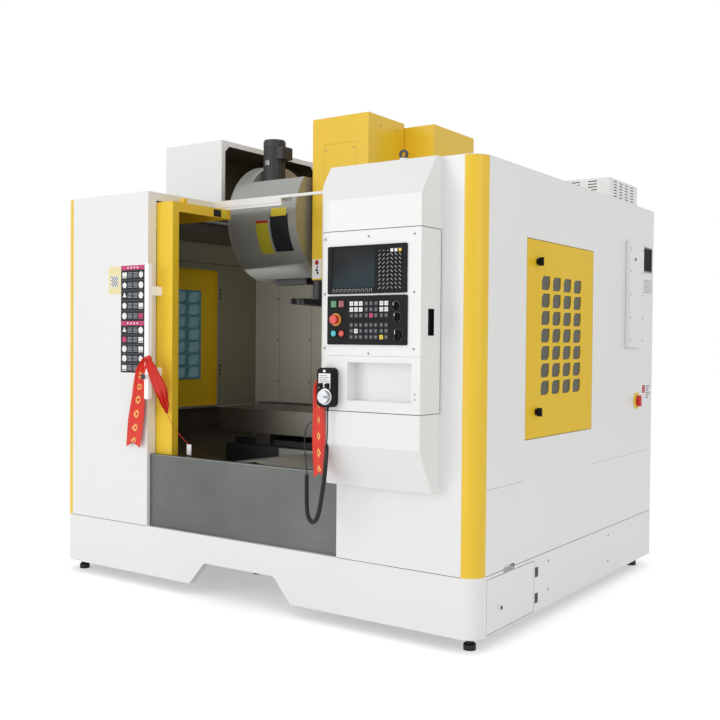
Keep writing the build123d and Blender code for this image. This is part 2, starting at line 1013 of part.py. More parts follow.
with BuildPart() as chip_pan:
    for side in (-1, 1):
        with BuildSketch(Plane.XZ.offset(-front - ledge_far)):
            with BuildLine():
                Polyline(
                    (side * bed_half, bed_top),
                    (side * (pan_wall - sheet), pan_bend),
                    (side * (pan_wall - sheet), pan_side_top),
                    (side * pan_wall, pan_side_top),
                    (side * pan_wall, pan_bend - sheet),
                    (side * bed_half, bed_top - sheet),
                    close=True,
                )
            make_face()
        extrude(amount=guard_setback - ledge_far, dir=(0, 1, 0))
    block((-bed_half, bed_half), setback(ledge_far, bed_setback), (bed_top - sheet, bed_top))
    with BuildSketch(Plane.XZ.offset(-front - ledge_far + sheet)):
        with BuildLine():
            Polyline(
                (-bed_half, bed_top - sheet),
                (-pan_wall, pan_bend - sheet),
                (-pan_wall, pan_bend + ledge_lip),
                (opening_left, pan_bend + ledge_lip),
                (opening_left, ledge_top),
                (opening_right, ledge_top),
                (opening_right, pan_bend + ledge_lip),
                (pan_wall, pan_bend + ledge_lip),
                (pan_wall, pan_bend - sheet),
                (bed_half, bed_top - sheet),
                close=True,
            )
        make_face()
    extrude(amount=sheet, dir=(0, 1, 0))
    block((-half + flange, half - flange), setback(ledge_near, ledge_far), (ledge_top - sheet, ledge_top))
    block(
        (opening_left, opening_right),
        setback(ledge_near, ledge_near + sheet),
        (ledge_top - ledge_lip, ledge_top),
    )
chip_pan.part.label = "chip_pan"
export_step(chip_pan.part, "parts/chip_pan.step")


def roof_profile(half_width, foot, eaves, ridge):
    """Closed outline of a folded way cover: two legs and a low ridge."""
    inner_half = half_width - sheet
    Polyline(
        (-half_width, foot),
        (-half_width, eaves),
        (0, ridge),
        (half_width, eaves),
        (half_width, foot),
        (inner_half, foot),
        (inner_half, eaves - sheet),
        (0, ridge - sheet),
        (-inner_half, eaves - sheet),
        (-inner_half, foot),
        close=True,
    )


# Way cover: the fixed half over the front of the bed
with BuildPart() as way_cover:
    with BuildSketch(Plane.XZ.offset(-front - way_cover_setback)):
        with BuildLine():
            roof_profile(way_cover_half, bed_top, way_cover_eaves, way_cover_ridge)
        make_face()
    extrude(amount=way_cover_end - way_cover_setback, dir=(0, 1, 0))
way_cover.part.label = "way_cover"
export_step(way_cover.part, "parts/way_cover.step")

# Electrical cabinet behind the splash guard, its open back against the rear wall
with BuildPart() as electrical_cabinet:
    block((cabinet_left, cabinet_right), setback(cabinet_setback, cabinet_far), (frame_top, cabinet_top))
    block(
        (cabinet_left + sheet, cabinet_right - sheet),
        setback(cabinet_setback + sheet, cabinet_far),
        (frame_top + sheet, cabinet_top - sheet),
        mode=Mode.SUBTRACT,
    )
electrical_cabinet.part.label = "electrical_cabinet"
export_step(electrical_cabinet.part, "parts/electrical_cabinet.step")

# Service cover: a shallow box screwed to the right wall
with BuildPart() as service_cover:
    block(
        (half, half + service_reach),
        setback(service_setback, service_setback + service_length),
        (service_bottom, service_bottom + service_height),
    )
    block(
        (half, half + service_reach - sheet),
        setback(service_setback + sheet, service_setback + service_length - sheet),
        (service_bottom + sheet, service_bottom + service_height - sheet),
        mode=Mode.SUBTRACT,
    )
service_cover.part.label = "service_cover"
export_step(service_cover.part, "parts/service_cover.step")

# Bed casting, with cored pockets in both flanks and the two lower rails
bed_length = bed_end - bed_setback
bed_pocket_length = (bed_length - bed_pocket_rib * (bed_pocket_count + 1)) / bed_pocket_count

with BuildPart() as bed_casting:
    block((-bed_half, bed_half), setback(bed_setback, bed_end), (frame_top, bed_top))
    for side in (-1, 1):
        for index in range(bed_pocket_count):
            near = bed_setback + bed_pocket_rib + index * (bed_pocket_length + bed_pocket_rib)
            block(
                sided(side, bed_half - bed_pocket_depth, bed_half),
                setback(near, near + bed_pocket_length),
                (frame_top + bed_pocket_rib, bed_top - bed_pocket_rib),
                mode=Mode.SUBTRACT,
            )
        block(
            sided(side, bed_rail_place - rail_width / 2, bed_rail_place + rail_width / 2),
            setback(bed_rail_start, bed_rail_end),
            (bed_top, bed_top + rail_height),
        )
bed_casting.part.label = "bed_casting"
export_step(bed_casting.part, "parts/bed_casting.step")

# Column casting, tapered at the back, with the two upright rails on its face
column_top = column_cover_top - sheet
column_rail_near = column_setback - column_rail_height

with BuildPart() as column_casting:
    with BuildSketch(Plane.YZ.offset(-column_half)):
        with BuildLine():
            Polyline(
                (front + column_setback, bed_top),
                (front + column_setback, column_top),
                (front + column_top_end, column_top),
                (front + column_top_end, wall_top),
                (front + column_foot_end, column_waist),
                (front + column_foot_end, bed_top),
                close=True,
            )
        make_face()
    extrude(amount=2 * column_half)
    for side in (-1, 1):
        block(
            sided(side, column_rail_place - rail_width / 2, column_rail_place + rail_width / 2),
            setback(column_rail_near, column_setback),
            (column_rail_bottom, column_rail_top),
        )
column_casting.part.label = "column_casting"
export_step(column_casting.part, "parts/column_casting.step")

# Saddle: runs on the bed's rails, carries the table's rails and the moving way cover
saddle_far = saddle_setback + saddle_depth
saddle_middle = (saddle_setback + saddle_far) / 2
bed_rail_top = bed_top + rail_height
saddle_ends = (saddle_setback, saddle_far - carriage_length)

with BuildPart() as saddle:
    block((-saddle_half, saddle_half), setback(saddle_setback, saddle_far), (saddle_bottom, saddle_top))
    for side in (-1, 1):
        rail_edge = rail_width / 2 + running
        carriage_edge = rail_edge + carriage_cheek
        for near in saddle_ends:
            block(
                sided(side, bed_rail_place - carriage_edge, bed_rail_place + carriage_edge),
                setback(near, near + carriage_length),
                (bed_top + sheet, saddle_bottom),
            )
            block(
                sided(side, bed_rail_place - rail_edge, bed_rail_place + rail_edge),
                setback(near, near + carriage_length),
                (bed_top + sheet, bed_rail_top + running),
                mode=Mode.SUBTRACT,
            )
        rail_middle = saddle_middle + side * table_rail_spread
        block(
            (-table_rail_half, table_rail_half),
            setback(rail_middle - rail_width / 2, rail_middle + rail_width / 2),
            (saddle_top, saddle_top + rail_height),
        )
    with BuildSketch(Plane.XZ.offset(-front - way_plate_start)):
        with BuildLine():
            roof_profile(
                way_cover_half - sheet - way_plate_gap,
                bed_top + sheet,
                way_cover_eaves - sheet - way_plate_gap,
                way_cover_ridge - sheet - way_plate_gap,
            )
        make_face()
    extrude(amount=saddle_setback - way_plate_start, dir=(0, 1, 0))
saddle.part.label = "saddle"
export_step(saddle.part, "parts/saddle.step")

# Table with three T-slots, on four carriages
table_rail_top = saddle_top + rail_height
table_middle_setback = table_setback + table_depth / 2

with BuildPart() as table:
    block(
        (table_middle - table_half, table_middle + table_half),
        setback(table_setback, table_setback + table_depth),
        (table_bottom, table_top),
    )
    for index in (-1, 0, 1):
        middle = table_middle_setback + index * slot_pitch
        for width, low, high in (
            (slot_mouth, table_top - slot_depth, table_top),
            (slot_base, table_top - slot_depth, table_top - slot_lip),
        ):
            block(
                (table_middle - table_half, table_middle + table_half),
                setback(middle - width / 2, middle + width / 2),
                (low, high),
                mode=Mode.SUBTRACT,
            )
    for side in (-1, 1):
        rail_edge = rail_width / 2 + running
        rail_middle = saddle_middle + side * table_rail_spread
        for place in (-table_carriage_place, table_carriage_place):
            ends = (
                table_middle + place - carriage_length / 2,
                table_middle + place + carriage_length / 2,
            )
            block(
                ends,
                setback(rail_middle - rail_edge - carriage_cheek, rail_middle + rail_edge + carriage_cheek),
                (saddle_top + sheet, table_bottom),
            )
            block(
                ends,
                setback(rail_middle - rail_edge, rail_middle + rail_edge),
                (saddle_top + sheet, table_rail_top + running),
                mode=Mode.SUBTRACT,
            )
table.part.label = "table"
export_step(table.part, "parts/table.step")

# Spindle head: rides the column's rails and carries the spindle motor and the head cover
head_far = column_rail_near - running
head_carriage_far = column_setback - sheet
bore_top = head_bottom + spindle_shaft_length + sheet
motor_near = spindle_setback - motor_half
head_boss_out = head_cover_half - sheet

with BuildPart() as head_casting:
    block((-head_half, head_half), setback(head_setback, head_far), (head_bottom, head_top))
    block(
        (-motor_half, motor_half),
        setback(motor_near, motor_near + 2 * motor_half),
        (head_top, head_top + motor_height),
    )
    for side in (-1, 1):
        block(
            sided(side, head_half, head_boss_out),
            setback(head_boss_setback, head_boss_setback + head_boss_depth),
            (head_boss_bottom, head_boss_bottom + head_boss_height),
        )
        rail_edge = rail_width / 2 + running
        for low in (head_bottom, head_top - carriage_length):
            for inner, outer in (
                (column_rail_place - rail_edge - carriage_cheek, column_rail_place - rail_edge),
                (column_rail_place + rail_edge, column_rail_place + rail_edge + carriage_cheek),
            ):
                block(
                    sided(side, inner, outer),
                    setback(head_far, head_carriage_far),
                    (low, low + carriage_length),
                )
        block(
            sided(side, head_half, column_rail_place + rail_edge + carriage_cheek),
            setback(head_far - 2 * carriage_cheek, head_far),
            (head_bottom, head_top),
        )
    post(
        0,
        front + spindle_setback,
        (head_bottom, bore_top),
        spindle_shaft_radius + running,
        mode=Mode.SUBTRACT,
    )
head_casting.part.label = "head_casting"
export_step(head_casting.part, "parts/head_casting.step")

# Head cover: moves with the head and stands up through the roof
with BuildPart() as head_cover:
    block(
        (-head_cover_half, head_cover_half),
        setback(head_cover_setback, head_cover_far),
        (head_cover_bottom, head_cover_bottom + head_cover_height),
    )
    block(
        (-head_cover_half + sheet, head_cover_half - sheet),
        setback(head_cover_setback + sheet, head_cover_far),
        (head_cover_bottom, head_cover_bottom + head_cover_height - sheet),
        mode=Mode.SUBTRACT,
    )
head_cover.part.label = "head_cover"
export_step(head_cover.part, "parts/head_cover.step")

# Spindle: nose with its tool taper, and the shaft up into the head
nose_bottom = head_bottom - spindle_nose_height

with BuildPart() as spindle:
    post(0, front + spindle_setback, (nose_bottom, head_bottom - running), spindle_nose_radius)
    post(
        0,
        front + spindle_setback,
        (nose_bottom, head_bottom + spindle_shaft_length),
        spindle_shaft_radius,
    )
    with Locations((0, front + spindle_setback, nose_bottom + taper_depth / 2)):
        Cone(taper_mouth_radius, taper_end_radius, taper_depth, mode=Mode.SUBTRACT)
spindle.part.label = "spindle"
export_step(spindle.part, "parts/spindle.step")

# Magazine cover: a round drum cover, cut flat on top beside the motor
drum_axis = front + spindle_setback

with BuildPart() as magazine_cover:
    rod_along_x((drum_left, drum_right), drum_axis, drum_height, drum_radius)
    block(
        (drum_step, drum_right),
        (drum_axis - drum_radius, drum_axis + drum_radius),
        (drum_flat, drum_height + drum_radius),
        mode=Mode.SUBTRACT,
    )
    offset(amount=-sheet, openings=magazine_cover.faces().sort_by(Axis.X)[0])
    block(
        (drum_mouth_left, drum_right),
        setback(drum_mouth_near, drum_mouth_far),
        (drum_height - drum_radius, gearbox_bottom),
        mode=Mode.SUBTRACT,
    )
    post(
        gearbox_motor_place,
        front + gearbox_motor_setback,
        (drum_flat - sheet, drum_flat),
        gearbox_motor_radius + running,
        mode=Mode.SUBTRACT,
    )
    block(
        (-column_half, drum_right - 2 * sheet),
        setback(spindle_setback + drum_radius - sheet, column_setback),
        (drum_pad_bottom, drum_pad_bottom + drum_pad_height),
    )
magazine_cover.part.label = "magazine_cover"
export_step(magazine_cover.part, "parts/magazine_cover.step")

# Tool change unit: the gearbox inside the drum, its motor on top and the pot bracket below
gearbox_top = drum_flat - sheet
motor_place = (gearbox_motor_place, front + gearbox_motor_setback)
terminal_top = gearbox_motor_top - terminal_drop
terminal_left = gearbox_motor_place + gearbox_motor_radius - terminal_sink
disc_shaft_end = drum_step + disc_thickness

with BuildPart() as tool_change_unit:
    block((drum_step, gearbox_right), setback(gearbox_near, gearbox_far), (gearbox_bottom, gearbox_top))
    post(*motor_place, (gearbox_top, gearbox_motor_top), gearbox_motor_radius)
    block(
        (terminal_left, terminal_left + terminal_box),
        (motor_place[1] - terminal_box, motor_place[1] + terminal_box),
        (terminal_top - terminal_height, terminal_top),
    )
    block(
        (drum_step, pot_bracket_right),
        setback(pot_bracket_near, pot_bracket_far),
        (pot_bracket_bottom, gearbox_bottom),
    )
    rod_along_x(
        (drum_step, disc_shaft_end + running),
        drum_axis,
        drum_height,
        disc_shaft_radius + running,
        mode=Mode.SUBTRACT,
    )
    post(
        arm_place,
        drum_axis,
        (gearbox_bottom, arm_shaft_top + running),
        spindle_shaft_radius + running,
        mode=Mode.SUBTRACT,
    )
tool_change_unit.part.label = "tool_change_unit"
export_step(tool_change_unit.part, "parts/tool_change_unit.step")

# Tool disc: a plate with a ring of pots, on a shaft into the gearbox
disc_left = drum_left + disc_thickness
pot_left = disc_left + disc_thickness
pot_right = pot_left + pot_length

with BuildPart() as tool_disc:
    rod_along_x((disc_left, pot_left), drum_axis, drum_height, disc_edge)
    rod_along_x((pot_left, pot_left + pot_length / 2), drum_axis, drum_height, disc_hub_radius)
    rod_along_x((pot_left, disc_shaft_end), drum_axis, drum_height, disc_shaft_radius)
    for radius, left, mode in (
        (pot_radius, pot_left, Mode.ADD),
        (pot_bore, pot_left + disc_thickness, Mode.SUBTRACT),
    ):
        with BuildSketch(Plane(origin=(left, drum_axis, drum_height), z_dir=(1, 0, 0))):
            with PolarLocations(pot_circle, pot_count):
                Circle(radius)
        extrude(amount=pot_right - left, mode=mode)
tool_disc.part.label = "tool_disc"
export_step(tool_disc.part, "parts/tool_disc.step")

# Tool arm: a bar with an open grip at each end, on the shaft that turns it
arm_across = arm_half_length * math.sin(math.radians(arm_rest_angle))
arm_along = arm_half_length * math.cos(math.radians(arm_rest_angle))
arm_grips = [
    (arm_place - end * arm_across, drum_axis + end * arm_along)
    for end in (-1, 1)
]

with BuildPart() as tool_arm:
    with BuildSketch(Plane.XY.offset(arm_bottom)):
        with Locations((arm_place, drum_axis)):
            Rectangle(2 * arm_half_width, 2 * arm_half_length, rotation=arm_rest_angle)
        with Locations(*arm_grips):
            Circle(arm_grip_radius, mode=Mode.SUBTRACT)
    extrude(amount=arm_thickness)
    post(arm_place, drum_axis, (arm_bottom + arm_thickness, arm_shaft_top), spindle_shaft_radius)
tool_arm.part.label = "tool_arm"
export_step(tool_arm.part, "parts/tool_arm.step")


def sliding_door(left, width):
    """Front door of folded sheet, with its roof piece that reaches back over the table."""
    right = left + width
    inner = (left + sheet, right - sheet)
    face = door_setback + sheet
    back = door_setback + door_thickness
    block((left, right), setback(door_setback, back), (door_sill, door_head))
    block((left, right), setback(back, door_roof_depth), (door_head - door_roof_height, door_head))
    block(inner, setback(face, back), (door_sill + sheet, door_head - sheet), mode=Mode.SUBTRACT)
    block(
        inner,
        setback(back, door_roof_depth - sheet),
        (door_head - door_roof_height, door_head - sheet),
        mode=Mode.SUBTRACT,
    )
    block(
        (left + stile_width, right - stile_width),
        setback(door_setback, face),
        (door_sill + door_bottom_rail, door_head - door_top_rail),
        mode=Mode.SUBTRACT,
    )


# Left door, its pane and its handle
with BuildPart() as left_door:
    sliding_door(left_door_start, left_door_width)
left_door.part.label = "left_door"
export_step(left_door.part, "parts/left_door.step")

handle_left = opening_left + handle_inset
handle_near = -handle_reach
handle_face = handle_near + handle_thickness
handle_middle = handle_left + handle_width / 2

with BuildPart() as left_door_handle:
    block(
        (handle_left, handle_left + handle_width),
        setback(handle_near, handle_face),
        (handle_bottom, handle_bottom + handle_length),
    )
    fillet(left_door_handle.edges().filter_by(Axis.Z), handle_corner)
    for low in (
        handle_bottom + handle_margin,
        handle_bottom + handle_length - handle_margin - handle_bracket,
    ):
        block(
            (handle_left, handle_left + handle_width),
            setback(handle_face, door_setback),
            (low, low + handle_bracket),
        )
    rod_along_y(
        handle_middle,
        setback(handle_near - lock_length, handle_near),
        handle_bottom + handle_margin,
        lock_radius,
    )
left_door_handle.part.label = "left_door_handle"
export_step(left_door_handle.part, "parts/left_door_handle.step")

# Right door, parked behind the control, with a flat grip on its leading stile
with BuildPart() as right_door:
    sliding_door(right_door_start, right_door_width)
    block(
        (right_door_start + grip_width, right_door_start + 2 * grip_width),
        setback(door_setback - grip_width / 2, door_setback),
        (grip_middle - grip_length / 2, grip_middle + grip_length / 2),
    )
right_door.part.label = "right_door"
export_step(right_door.part, "parts/right_door.step")

# Panes of both front doors, held behind the door's face
for start, width, name in (
    (left_door_start, left_door_width, "left_door_window"),
    (right_door_start, right_door_width, "right_door_window"),
):
    with BuildPart() as pane:
        block(
            (start + stile_width - pane_lap, start + width - stile_width + pane_lap),
            setback(door_setback + sheet, door_setback + sheet + pane_thickness),
            (door_sill + door_bottom_rail - pane_lap, door_head - door_top_rail + pane_lap),
        )
    pane.part.label = name
    export_step(pane.part, f"parts/{name}.step")


def latch(side, height, gap):
    """Quarter turn latch: a base and a bar outside, a shaft and a cam inside."""
    y = front + latch_setback
    cam = half - sheet - side_pane_thickness - running - latch_cam_thickness
    grip = latch_grip_width / 2
    rod_along_x(sided(side, half + gap, half + latch_base_height), y, height, latch_base_radius)
    rod_along_x(sided(side, cam, half + latch_base_height), y, height, latch_shaft_radius)
    block(
        sided(side, half + latch_base_height, half + side_reach),
        (y - grip, y + grip),
        (height - latch_grip_length / 2, height + latch_grip_length / 2),
    )
    block(
        sided(side, cam, cam + latch_cam_thickness),
        (y - latch_cam_length / 2, y + latch_cam_length / 2),
        (height - latch_cam_width / 2, height + latch_cam_width / 2),
    )


# Side doors: hung trays, each pierced by a grid of leaf shaped windows
side_door_near = side_opening_setback + door_gap
side_door_far = side_opening_far - hinge_gap
side_door_low = side_opening_bottom + door_gap
side_door_high = side_opening_top - door_gap
leaf_grid_depth = (leaf_columns - 1) * leaf_pitch_across + leaf_width
leaf_grid_height = (leaf_rows - 1) * leaf_pitch_up + leaf_height
leaf_middle = (
    front + leaf_first_setback + leaf_grid_depth / 2,
    leaf_first_bottom + leaf_grid_height / 2,
)

with BuildSketch() as leaf:
    Rectangle(leaf_width, leaf_height)
    ends = leaf.vertices().sort_by(lambda corner: corner.X - corner.Y)
    fillet([ends[0], ends[-1]], leaf_round)

for side, name in ((-1, "left_side_door"), (1, "right_side_door")):
    with BuildPart() as side_door:
        hung_tray(side, side_door_near, side_door_far, side_door_low, side_door_high)
        with BuildSketch(Plane.YZ.offset(side * half)):
            with Locations(leaf_middle):
                with GridLocations(leaf_pitch_across, leaf_pitch_up, leaf_columns, leaf_rows):
                    add(leaf.sketch)
        extrude(amount=-side * sheet, mode=Mode.SUBTRACT)
        for height in latch_heights:
            if side == 1:
                rod_along_x(
                    (half - sheet, half),
                    front + latch_setback,
                    height,
                    latch_shaft_radius + running,
                    mode=Mode.SUBTRACT,
                )
            else:
                latch(side, height, 0)
    side_door.part.label = name
    export_step(side_door.part, f"parts/{name}.step")

for height, name in zip(latch_heights, ("right_lower_latch", "right_upper_latch")):
    with BuildPart() as side_latch:
        latch(1, height, running)
    side_latch.part.label = name
    export_step(side_latch.part, f"parts/{name}.step")

# Clear panes behind the leaf shaped windows
for side, name in ((-1, "left_side_window"), (1, "right_side_window")):
    with BuildPart() as side_pane:
        block(
            sided(side, half - sheet - side_pane_thickness, half - sheet),
            setback(
                leaf_first_setback - side_pane_lap,
                leaf_first_setback + leaf_grid_depth + side_pane_lap,
            ),
            (
                leaf_first_bottom - side_pane_lap,
                leaf_first_bottom + leaf_grid_height + side_pane_lap,
            ),
        )
    side_pane.part.label = name
    export_step(side_pane.part, f"parts/{name}.step")

# Base door in the right base panel, with its lock
with BuildPart() as base_door:
    hung_tray(
        1,
        base_door_setback + door_gap,
        base_door_far - hinge_gap,
        base_door_low + door_gap,
        base_door_high - door_gap,
    )
    rod_along_x(
        (half, half + base_latch_reach),
        front + base_latch_setback,
        base_latch_height,
        base_latch_radius,
    )
base_door.part.label = "base_door"
export_step(base_door.part, "parts/base_door.step")

# Main switch on the right wall: a round plate with a bar grip
with BuildPart() as main_switch:
    switch_y = front + switch_setback
    rod_along_x((half + running, half + switch_plate), switch_y, switch_height, switch_radius)
    rod_along_x(
        (half - switch_shaft_length, half + switch_plate),
        switch_y,
        switch_height,
        switch_shaft_radius,
    )
    block(
        (half + switch_plate, half + side_reach),
        (switch_y - switch_grip_width / 2, switch_y + switch_grip_width / 2),
        (switch_height - switch_radius, switch_height + switch_radius),
    )
main_switch.part.label = "main_switch"
export_step(main_switch.part, "parts/main_switch.step")

# Control door: a deep box hung on two pins, with a shelf pocket and a finger recess
control_face = front - housing_reach

with BuildPart() as control_door:
    control_block(0, control_back, (control_bottom, control_top))
    offset(amount=-sheet, openings=control_door.faces().sort_by(Axis.Y)[-1])
    for wall, mode in ((sheet, Mode.ADD), (0, Mode.SUBTRACT)):
        block(
            (shelf_left - wall, shelf_right + wall),
            (control_face, control_face + shelf_depth + wall),
            (shelf_bottom - wall, shelf_bottom + shelf_height + wall),
            mode=mode,
        )
        block(
            (housing_right - recess_depth - wall, housing_right),
            setback(-recess_near - wall, -recess_far + wall),
            (recess_bottom - wall, recess_bottom + recess_height + wall),
            mode=mode,
        )
    post(
        *control_hinge,
        (control_bottom, control_top),
        hinge_pin_radius + running,
        mode=Mode.SUBTRACT,
    )
control_door.part.label = "control_door"
export_step(control_door.part, "parts/control_door.step")


def front_panel(left, width, bottom, height):
    """Flat panel with rounded corners on the control door's face."""
    with BuildSketch(Plane.XZ.offset(-control_face)) as outline:
        with Locations((left + width / 2, bottom + height / 2)):
            RectangleRounded(width, height, panel_proud)
    extrude(outline.sketch, amount=panel_proud)


def key_rows(left, bottom, columns, rows, pitch, size):
    """Block of raised keys, its first key at the lower left."""
    with BuildSketch(Plane.XZ.offset(-control_face + panel_proud)) as keys:
        for column in range(columns):
            for row in range(rows):
                with Locations(
                    (
                        left + column * pitch[0] + size[0] / 2,
                        bottom + row * pitch[1] + size[1] / 2,
                    )
                ):
                    Rectangle(*size)
    extrude(keys.sketch, amount=key_proud)


# Display unit: a sunk screen, a key pad and a row of soft keys
panel_face = control_face - panel_proud

with BuildPart() as display_unit:
    front_panel(panel_left, screen_panel_width, screen_panel_bottom, screen_panel_height)
    block(
        (screen_left, screen_left + screen_width),
        (panel_face, panel_face + screen_recess),
        (screen_bottom, screen_bottom + screen_height),
        mode=Mode.SUBTRACT,
    )
    key_rows(
        pad_left,
        pad_bottom,
        pad_columns,
        pad_rows,
        (pad_pitch_across, pad_pitch_up),
        (pad_key, pad_key),
    )
    key_rows(
        soft_key_left,
        soft_key_bottom,
        soft_key_count,
        1,
        (soft_key_pitch, soft_key_pitch),
        (soft_key_height, soft_key_height),
    )
display_unit.part.label = "display_unit"
export_step(display_unit.part, "parts/display_unit.step")

# Operator panel: keys, and the openings for its push buttons and knobs
button_back = control_face - button_travel - 2 * running
square_places = (power_on_place, power_off_place)
round_places = (start_place, hold_place)

with BuildPart() as operator_panel:
    front_panel(panel_left, switch_panel_width, switch_panel_bottom, switch_panel_height)
    for bottom in key_block_bottoms:
        for left, columns in zip(key_group_lefts, key_group_columns):
            key_rows(
                left,
                bottom,
                columns,
                key_row_count,
                (key_pitch_across, key_pitch_up),
                (key_size, key_size),
            )
    with BuildSketch(Plane.XZ.offset(-control_face)):
        with Locations(*square_places):
            Rectangle(square_button + 2 * running, square_button + 2 * running)
        with Locations(*round_places):
            Circle(round_button_radius + running)
        with Locations(stop_place):
            Circle(stop_stem_radius + running)
        with Locations(*knob_places):
            Circle(knob_shaft_radius + running)
    extrude(amount=panel_proud, mode=Mode.SUBTRACT)
operator_panel.part.label = "operator_panel"
export_step(operator_panel.part, "parts/operator_panel.step")

# Push buttons: two square, two round and the stop button's mushroom
button_span = (panel_face - button_proud, button_back)

for place, name in zip(square_places, ("power_on_button", "power_off_button")):
    with BuildPart() as button:
        block(
            (place[0] - square_button / 2, place[0] + square_button / 2),
            button_span,
            (place[1] - square_button / 2, place[1] + square_button / 2),
        )
        chamfer(button.faces().sort_by(Axis.Y)[0].edges(), key_proud)
    button.part.label = name
    export_step(button.part, f"parts/{name}.step")

for place, name in zip(round_places, ("start_button", "hold_button")):
    with BuildPart() as button:
        rod_along_y(place[0], button_span, place[1], round_button_radius)
        chamfer(button.faces().sort_by(Axis.Y)[0].edges(), key_proud)
    button.part.label = name
    export_step(button.part, f"parts/{name}.step")

stop_head_back = panel_face - stop_stem_length

with BuildPart() as stop_button:
    rod_along_y(stop_place[0], (stop_head_back, button_back), stop_place[1], stop_stem_radius)
    rod_along_y(
        stop_place[0],
        (stop_head_back - stop_head_height, stop_head_back),
        stop_place[1],
        stop_head_radius,
    )
    fillet(stop_button.faces().sort_by(Axis.Y)[0].edges(), stop_head_round)
stop_button.part.label = "stop_button"
export_step(stop_button.part, "parts/stop_button.step")

# Knobs: a round body with a pointer ridge, on a shaft into the panel
knob_names = ("mode_knob", "feed_knob", "spindle_knob")

for place, radius, name in zip(knob_places, knob_radii, knob_names):
    with BuildPart() as knob:
        rod_along_y(place[0], (panel_face - knob_height / 2, panel_face - running), place[1], radius)
        rod_along_y(
            place[0],
            (panel_face - knob_height / 2, control_face - running),
            place[1],
            knob_shaft_radius,
        )
        block(
            (place[0] - knob_shaft_radius, place[0] + knob_shaft_radius),
            (panel_face - knob_height, panel_face - knob_height / 2),
            (place[1] - radius, place[1] + radius),
        )
    knob.part.label = name
    export_step(knob.part, f"parts/{name}.step")

# Pendant: held on the control door by its magnet, with two dials and a hand wheel
pendant_back = control_face - magnet_thickness
pendant_face = pendant_back - pendant_thickness
pendant_middle = (pendant_left + pendant_width / 2, pendant_bottom + pendant_height / 2)
wheel_bore_end = pendant_face + wheel_thickness
relief_middle = (wheel_place[0], front + relief_setback)

with BuildPart() as pendant_body:
    with BuildSketch(Plane.XZ.offset(-pendant_back)):
        with Locations(pendant_middle):
            RectangleRounded(pendant_width, pendant_height, pendant_corner)
    extrude(amount=pendant_thickness)
    fillet(pendant_body.faces().sort_by(Axis.Y)[0].edges(), pendant_round)
    block(
        (pendant_middle[0] - magnet_half, pendant_middle[0] + magnet_half),
        (pendant_back, control_face),
        (pendant_middle[1] - magnet_half, pendant_middle[1] + magnet_half),
    )
    for place in dial_places:
        rod_along_y(place[0], (pendant_face - dial_height, pendant_face), place[1], dial_radius)
    with Locations((*relief_middle, pendant_bottom - relief_length / 2)):
        Cone(cord_radius, relief_radius, relief_length)
    rod_along_y(
        wheel_place[0],
        (pendant_face, wheel_bore_end + running),
        wheel_place[1],
        wheel_shaft_radius + running,
        mode=Mode.SUBTRACT,
    )
pendant_body.part.label = "pendant_body"
export_step(pendant_body.part, "parts/pendant_body.step")

# Hand wheel with its crank
wheel_face = pendant_face - wheel_thickness - running

with BuildPart() as handwheel:
    rod_along_y(wheel_place[0], (wheel_face, pendant_face - running), wheel_place[1], wheel_radius)
    rod_along_y(wheel_place[0], (wheel_face, wheel_bore_end), wheel_place[1], wheel_shaft_radius)
    rod_along_y(
        wheel_place[0] + crank_offset,
        (front - crank_reach, wheel_face),
        wheel_place[1],
        crank_radius,
    )
handwheel.part.label = "handwheel"
export_step(handwheel.part, "parts/handwheel.step")

# Connector where the pendant's cord enters the side of the control
connector_left = housing_left - connector_length
gland_left = connector_left - connector_gland
connector_y = front + connector_setback

with BuildPart() as pendant_connector:
    rod_along_x((connector_left, housing_left), connector_y, connector_height, connector_radius)
    with Locations(((gland_left + connector_left) / 2, connector_y, connector_height)):
        Cone(2 * cord_radius, connector_radius, connector_gland, rotation=(0, 90, 0))
pendant_connector.part.label = "pendant_connector"
export_step(pendant_connector.part, "parts/pendant_connector.step")

# Pendant cord: straight at both ends and curly between, hanging in one loop
cord_top = [
    (wheel_place[0], relief_setback, pendant_bottom - relief_length),
    (wheel_place[0], relief_setback, 940),
    (wheel_place[0] + 2, relief_setback - 2, 892),
    (674, -188, 846),
]
cord_curl = [
    (674, -188, 846),
    (671, -188, 794),
    (666, -187, 740),
    (658, -185, 686),
    (647, -182, 632),
    (636, -180, 578),
    (622, -177, 530),
    (600, -172, 500),
    (570, -164, 497),
    (549, -157, 522),
    (540, -152, 566),
    (535, -147, 612),
    (531, -143, 658),
    (529, -139, 700),
]
cord_end = [
    (529, -139, 700),
    (522, -134, 738),
    (510, -126, 776),
    (495, -113, 814),
    (481, -96, 848),
    (472, -79, 878),
    (470, -65, 905),
    (490, connector_setback, connector_height),
    (gland_left, connector_setback, connector_height),
]


def cord_radii(points):
    """Largest arc that each corner of a route leaves room for."""
    radii = []
    for before, corner, after in zip(points, points[1:], points[2:]):
        arriving = Vector(*corner) - Vector(*before)
        leaving = Vector(*after) - Vector(*corner)
        turn = math.radians(arriving.get_angle(leaving))
        radii.append(arc_share * min(arriving.length, leaving.length) / math.tan(turn / 2))
    return radii


def cord_tube(points, radius):
    """Round tube along straight runs joined by tangent arcs."""
    route = [(x, front + place, z) for x, place, z in points]
    radii = cord_radii(route)
    print("cord arcs:", [round(arc) for arc in radii])
    with BuildLine() as path:
        FilletPolyline(*route, radius=radii)
    with BuildSketch(Plane(origin=path.line @ 0, z_dir=path.line % 0)) as section:
        Circle(radius)
    sweep(section.sketch, path=path.line)


with BuildPart() as pendant_cord:
    cord_tube(cord_top, cord_radius)
    cord_tube(cord_curl, curl_radius)
    cord_tube(cord_end, cord_radius)
pendant_cord.part.label = "pendant_cord"
export_step(pendant_cord.part, "parts/pendant_cord.step")
